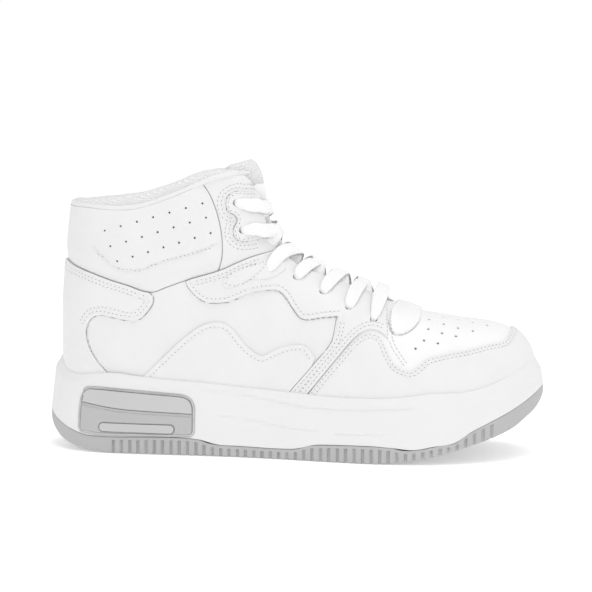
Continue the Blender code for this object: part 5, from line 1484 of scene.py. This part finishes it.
def leather(name, value, roughness):
    """Soft leather: fine pores, a net of creases and a slow change of gloss."""
    made = Shader(name, value, roughness, specular=0.4)
    grain = made.cells(0.0011)
    creases = made.cells(0.0023, 'DISTANCE_TO_EDGE')
    made.shade(made.between(made.noise(0.022, 3.0), 0.0, 1.0), 0.975)
    made.rough(made.between(made.noise(0.006, 3.0), roughness - 0.06, roughness + 0.08))
    return made.bumps((creases, 0.25, 0.0002), (grain, 0.3, 0.00015), (made.noise(0.0005), 0.15, 0.0001))


def knitted(name, value, pitch, darker):
    """A knitted mesh: two crossing sets of ribs with open holes between them."""
    made = Shader(name, value, 0.85, specular=0.2, sheen=0.3)
    heights = []
    for turn in (math.radians(40), math.radians(-40), math.radians(90)):
        turned = made.node("ShaderNodeMapping", {"Vector": made.where,
                                                 "Rotation": (0.6 * turn, turn, turn)})
        wave = made.node("ShaderNodeTexWave", {"Vector": turned.outputs[0], "Scale": 0.314 / pitch,
                                               "Distortion": 0.6, "Detail": 0.0},
                         wave_type='BANDS', bands_direction='X', wave_profile='SIN')
        heights.append(wave.outputs["Fac"])
    weave = made.math('MULTIPLY', made.math('ADD', heights[0], heights[1]), heights[2])
    # Darker where the weave is low, in its open holes: painted shade.
    made.shade(made.between(weave, 0.0, 1.0, 0.1, 0.9), darker)
    return made.bumps((weave, 0.6, 0.0004), (made.noise(0.0004), 0.3, 0.0001))


def flat_lace(name, value):
    """Flat tubular lace: a herringbone of fine yarns on both sides of its middle."""
    made = Shader(name, value, 0.8, specular=0.2, sheen=0.25)
    source = made.node("ShaderNodeAttribute", attribute_name="weave").outputs["Vector"]
    parts = made.node("ShaderNodeSeparateXYZ", {0: source})
    across = made.math('ABSOLUTE', parts.outputs["X"])
    slanted = made.math('ADD', made.math('MULTIPLY', across, 0.9), parts.outputs["Y"])
    yarn = made.math('SINE', made.math('MULTIPLY', slanted, 2 * math.pi / YARN_PITCH))
    strands = made.math('SINE', made.math('MULTIPLY', parts.outputs["X"], 2 * math.pi / STRAND_PITCH))
    weave = made.math('ADD', yarn, made.math('MULTIPLY', strands, 0.5))
    # Darker where the weave is low, between the yarns: painted shade.
    made.shade(made.between(weave, 0.0, 1.0, -1.4, 0.4), 0.9)
    return made.bumps((weave, 0.35, 0.00022), (made.noise(0.0004), 0.2, 0.0001))


def moulded(name, value, roughness, darker, fine):
    """Moulded foam or rubber with a fine sandy finish."""
    made = Shader(name, value, roughness, specular=0.35)
    made.shade(made.between(made.noise(0.03, 4.0), 0.0, 1.0), darker)
    made.rough(made.between(made.noise(0.004, 2.0), roughness - 0.05, roughness + 0.07))
    return made.bumps((made.noise(fine, 3.0), 0.25, 0.0001), (made.noise(0.006, 2.0), 0.08, 0.0003))


def thread(name, value, roughness):
    """Twisted thread; also its dark copies, which are painted shade in needle holes and perforations."""
    made = Shader(name, value, roughness, specular=0.3, sheen=0.15)
    made.shade(made.between(made.noise(0.0006), 0.0, 1.0), 0.93)
    return made.bumps((made.noise(0.0003, 3.0), 0.4, 0.0001))


LEATHER = leather("white_leather", 0.755, 0.46)
# A lighter copy of the same white leather for the vamp, throat patch and tongue face: painted top light.
TOP_LIT_LEATHER = leather("white_leather_painted_top_light", 0.83, 0.44)
LINING = knitted("lining_mesh", 0.80, 0.0010, 0.86)
LACE = flat_lace("lace_weave", 0.90)
MIDSOLE = moulded("white_midsole", 0.745, 0.52, 0.985, 0.0007)
INSERT = moulded("grey_insert", 0.46, 0.45, 0.97, 0.0006)
INSERT_BAND = moulded("pale_insert", 0.53, 0.45, 0.97, 0.0006)
# Dark grey for the insert's grooves: painted shade.
INSERT_SHADE = moulded("insert_groove_shade", 0.22, 0.6, 0.97, 0.0006)
RUBBER = moulded("grey_rubber", 0.45, 0.6, 0.95, 0.0009)
THREAD = thread("white_thread", 0.80, 0.6)
# Dark copies of the thread finish: painted shade in the needle holes and in the perforations.
NEEDLE_SHADE = thread("needle_hole_shade", 0.30, 0.9)
PERFORATION_SHADE = thread("perforation_shade", 0.22, 0.9)
BOARD = moulded("board_fibre", (0.55, 0.47, 0.37), 0.85, 0.85, 0.0015)
FOAM = moulded("cream_foam", (0.78, 0.76, 0.68), 0.9, 0.92, 0.0012)
STIFFENER = moulded("stiffener", 0.74, 0.75, 0.92, 0.0012)
PLATE = moulded("shank_plate", (0.16, 0.16, 0.17), 0.45, 0.85, 0.0010)


# ------------------------------------------------------------------ the shoe
def holes_for(places, radius, sides=(-1.0, 1.0)):
    """Round holes (centre on the form, radius) at places given in side view."""
    return [(form_point(*side_mark(x, z, side)), radius) for side in sides for x, z in places]


def add_side_panels(side, label):
    """The leather panels of one side of the upper."""
    tops = holes_for(EYELETS[:2], EYELET_RADIUS, (side,))
    lower = holes_for(EYELETS[2:], EYELET_RADIUS, (side,))
    heel_overlay = OUTLINES["heel_overlay"][0 if side < 0 else 1]
    return [add_panel("quarter_" + label, BASE_LAYER, LEATHER, radius=0.4, holes=lower[:3],
                      grooves=OUTLINES["eyestay_" + label] + [heel_overlay]),
            add_panel("ankle_facing_" + label, BASE_LAYER, LEATHER, radius=0.8, holes=tops,
                      grooves=OUTLINES["lace_tab_" + label]),
            add_panel("lace_tab_" + label, TAB_LAYER, LEATHER, radius=0.7, holes=tops),
            add_panel("eyestay_" + label, OVERLAY_LAYER, LEATHER, rows=(2.1,), holes=lower),
            add_panel("wave_overlay_" + label, OVERLAY_LAYER, LEATHER, rows=(3.0,))]


def add_upper():
    """The leather panels, the linings behind them, and the stitching and holes in them."""
    collar_places = [np.array(start) + (np.array(end) - np.array(start)) * share
                     for start, end, count in COLLAR_HOLE_ROWS for share in np.linspace(0, 1, count)]
    quilt = [sewn_row(COLLAR_QUILT, side, 0.0, lift=0.0) for side, _ in SIDES]
    toe_holes = holes_for(VAMP_HOLES, TOE_PERFORATION_RADIUS) + holes_for(EYELETS[5:], EYELET_RADIUS)
    skins = [add_panel("collar_panel", BASE_LAYER, LEATHER, radius=1.0, puff=1.3, creases=quilt,
                       holes=holes_for(collar_places, PERFORATION_RADIUS)),
             add_panel("vamp", BASE_LAYER, TOP_LIT_LEATHER, radius=0.4, holes=toe_holes,
                       grooves=OUTLINES["throat_patch"], groove_top=PATCH_GROOVE_TOP)]
    for side, label in SIDES:
        skins += add_side_panels(side, label)
    skins += [add_panel("heel_overlay", OVERLAY_LAYER, LEATHER, rows=(2.3, 4.4)),
              add_panel("mudguard", OVERLAY_LAYER, LEATHER, rows=MUDGUARD_STITCHING),
              add_panel("throat_patch", PATCH_LAYER, TOP_LIT_LEATHER, radius=1.0, puff=0.8, puff_width=9.0)]
    for name, layer, uneven in (("quarter_lining", LINING_LAYER, 0.12), ("vamp_lining", LINING_LAYER, 0.12),
                                ("collar_lining", COLLAR_LINING_LAYER, 0.5)):
        add_panel(name, layer, LINING, INNER_FORM, radius=0.3, uneven=uneven, slot="lining")
    for _, label in SIDES:
        skins.append(add_panel("leaf_" + label, LEAF_LAYER, LEATHER, radius=0.7, nodes=()))
    add_stitching(skins)
    add_perforation_shades(collar_places + VAMP_HOLES)


def add_sole_unit():
    """The midsole with its two heel inserts, the outsole and the loose sock liner."""
    wall = wall_surface()
    add_midsole(wall)
    for side, label in SIDES:
        add_insert(wall, side, label)
    add_outsole()
    add_sock_liner()


def finish_hidden_solids():
    """Materials for the CAD pieces that stay as they are, inside the shoe."""
    for name, finish in (("collar_foam", FOAM), ("insole_board", BOARD), ("shank", PLATE),
                         ("heel_counter", STIFFENER), ("toe_puff", STIFFENER),
                         ("eyestay_backing_lateral", STIFFENER), ("eyestay_backing_medial", STIFFENER)):
        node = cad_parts[name]
        node.data.materials.clear()
        node.data.materials.append(finish)


# ------------------------------------------------------------------ floor, light and camera
def add_floor():
    """A plain pale floor that glows a little, so that it meets the background without an edge."""
    mesh = bpy.data.meshes.new("floor")
    corners = [(-FLOOR_HALF, -FLOOR_HALF, 0), (FLOOR_HALF, -FLOOR_HALF, 0),
               (FLOOR_HALF, FLOOR_HALF, 0), (-FLOOR_HALF, FLOOR_HALF, 0)]
    mesh.from_pydata(corners, [], [(0, 1, 2, 3)])
    paper = Shader("pale_floor", 0.96, 0.9, specular=0.1)
    paper.shade(paper.between(paper.noise(0.4), 0.0, 1.0), 0.995)
    paper.shader.inputs["Emission Color"].default_value = (1.0, 1.0, 1.0, 1.0)
    paper.shader.inputs["Emission Strength"].default_value = FLOOR_GLOW
    mesh.materials.append(paper.material)
    floor = bpy.data.objects.new("floor", mesh)
    bpy.context.scene.collection.objects.link(floor)


def add_sky():
    """A white dome, brightest near the horizon and softer overhead."""
    world = bpy.data.worlds.new("studio")
    world.use_nodes = True
    nodes, links = world.node_tree.nodes, world.node_tree.links
    sky = nodes["Background"]
    sky.inputs["Color"].default_value = (1.0, 1.0, 1.0, 1.0)
    height = nodes.new("ShaderNodeSeparateXYZ")
    links.new(nodes.new("ShaderNodeTexCoord").outputs["Generated"], height.inputs[0])
    dome = nodes.new("ShaderNodeMapRange")
    for key, value in DOME.items():
        dome.inputs[key].default_value = value
    links.new(height.outputs["Z"], dome.inputs["Value"])
    links.new(dome.outputs["Result"], sky.inputs["Strength"])
    bpy.context.scene.world = world


def add_softboxes():
    for name, place, size, power in SOFTBOXES:
        light = bpy.data.lights.new(name, 'AREA')
        light.shape = 'RECTANGLE'
        light.size, light.size_y = size, size
        light.energy = power
        lamp = bpy.data.objects.new(name, light)
        lamp.location = place
        lamp.rotation_euler = (CAMERA_TARGET - Vector(place)).to_track_quat('-Z', 'Y').to_euler()
        bpy.context.scene.collection.objects.link(lamp)


def add_camera():
    data = bpy.data.cameras.new("camera")
    data.lens = LENS
    data.sensor_width = SENSOR
    data.clip_end = CLIP_END
    data.shift_x = CAMERA_SHIFT
    camera = bpy.data.objects.new("camera", data)
    level = math.cos(CAMERA_ELEVATION)
    back = Vector((math.sin(CAMERA_AZIMUTH) * level, -math.cos(CAMERA_AZIMUTH) * level,
                   math.sin(CAMERA_ELEVATION)))
    camera.location = CAMERA_TARGET + back * CAMERA_DISTANCE
    turn = back.to_track_quat('Z', 'Y').to_matrix() @ Matrix.Rotation(CAMERA_ROLL, 3, 'Z')
    camera.rotation_euler = turn.to_euler()
    bpy.context.scene.collection.objects.link(camera)
    bpy.context.scene.camera = camera


add_upper()
add_collar_binding()
add_tongue()
add_laces()
add_sole_unit()
finish_hidden_solids()
add_floor()
add_sky()
add_softboxes()
add_camera()
bpy.context.scene.view_settings.view_transform = 'Standard'
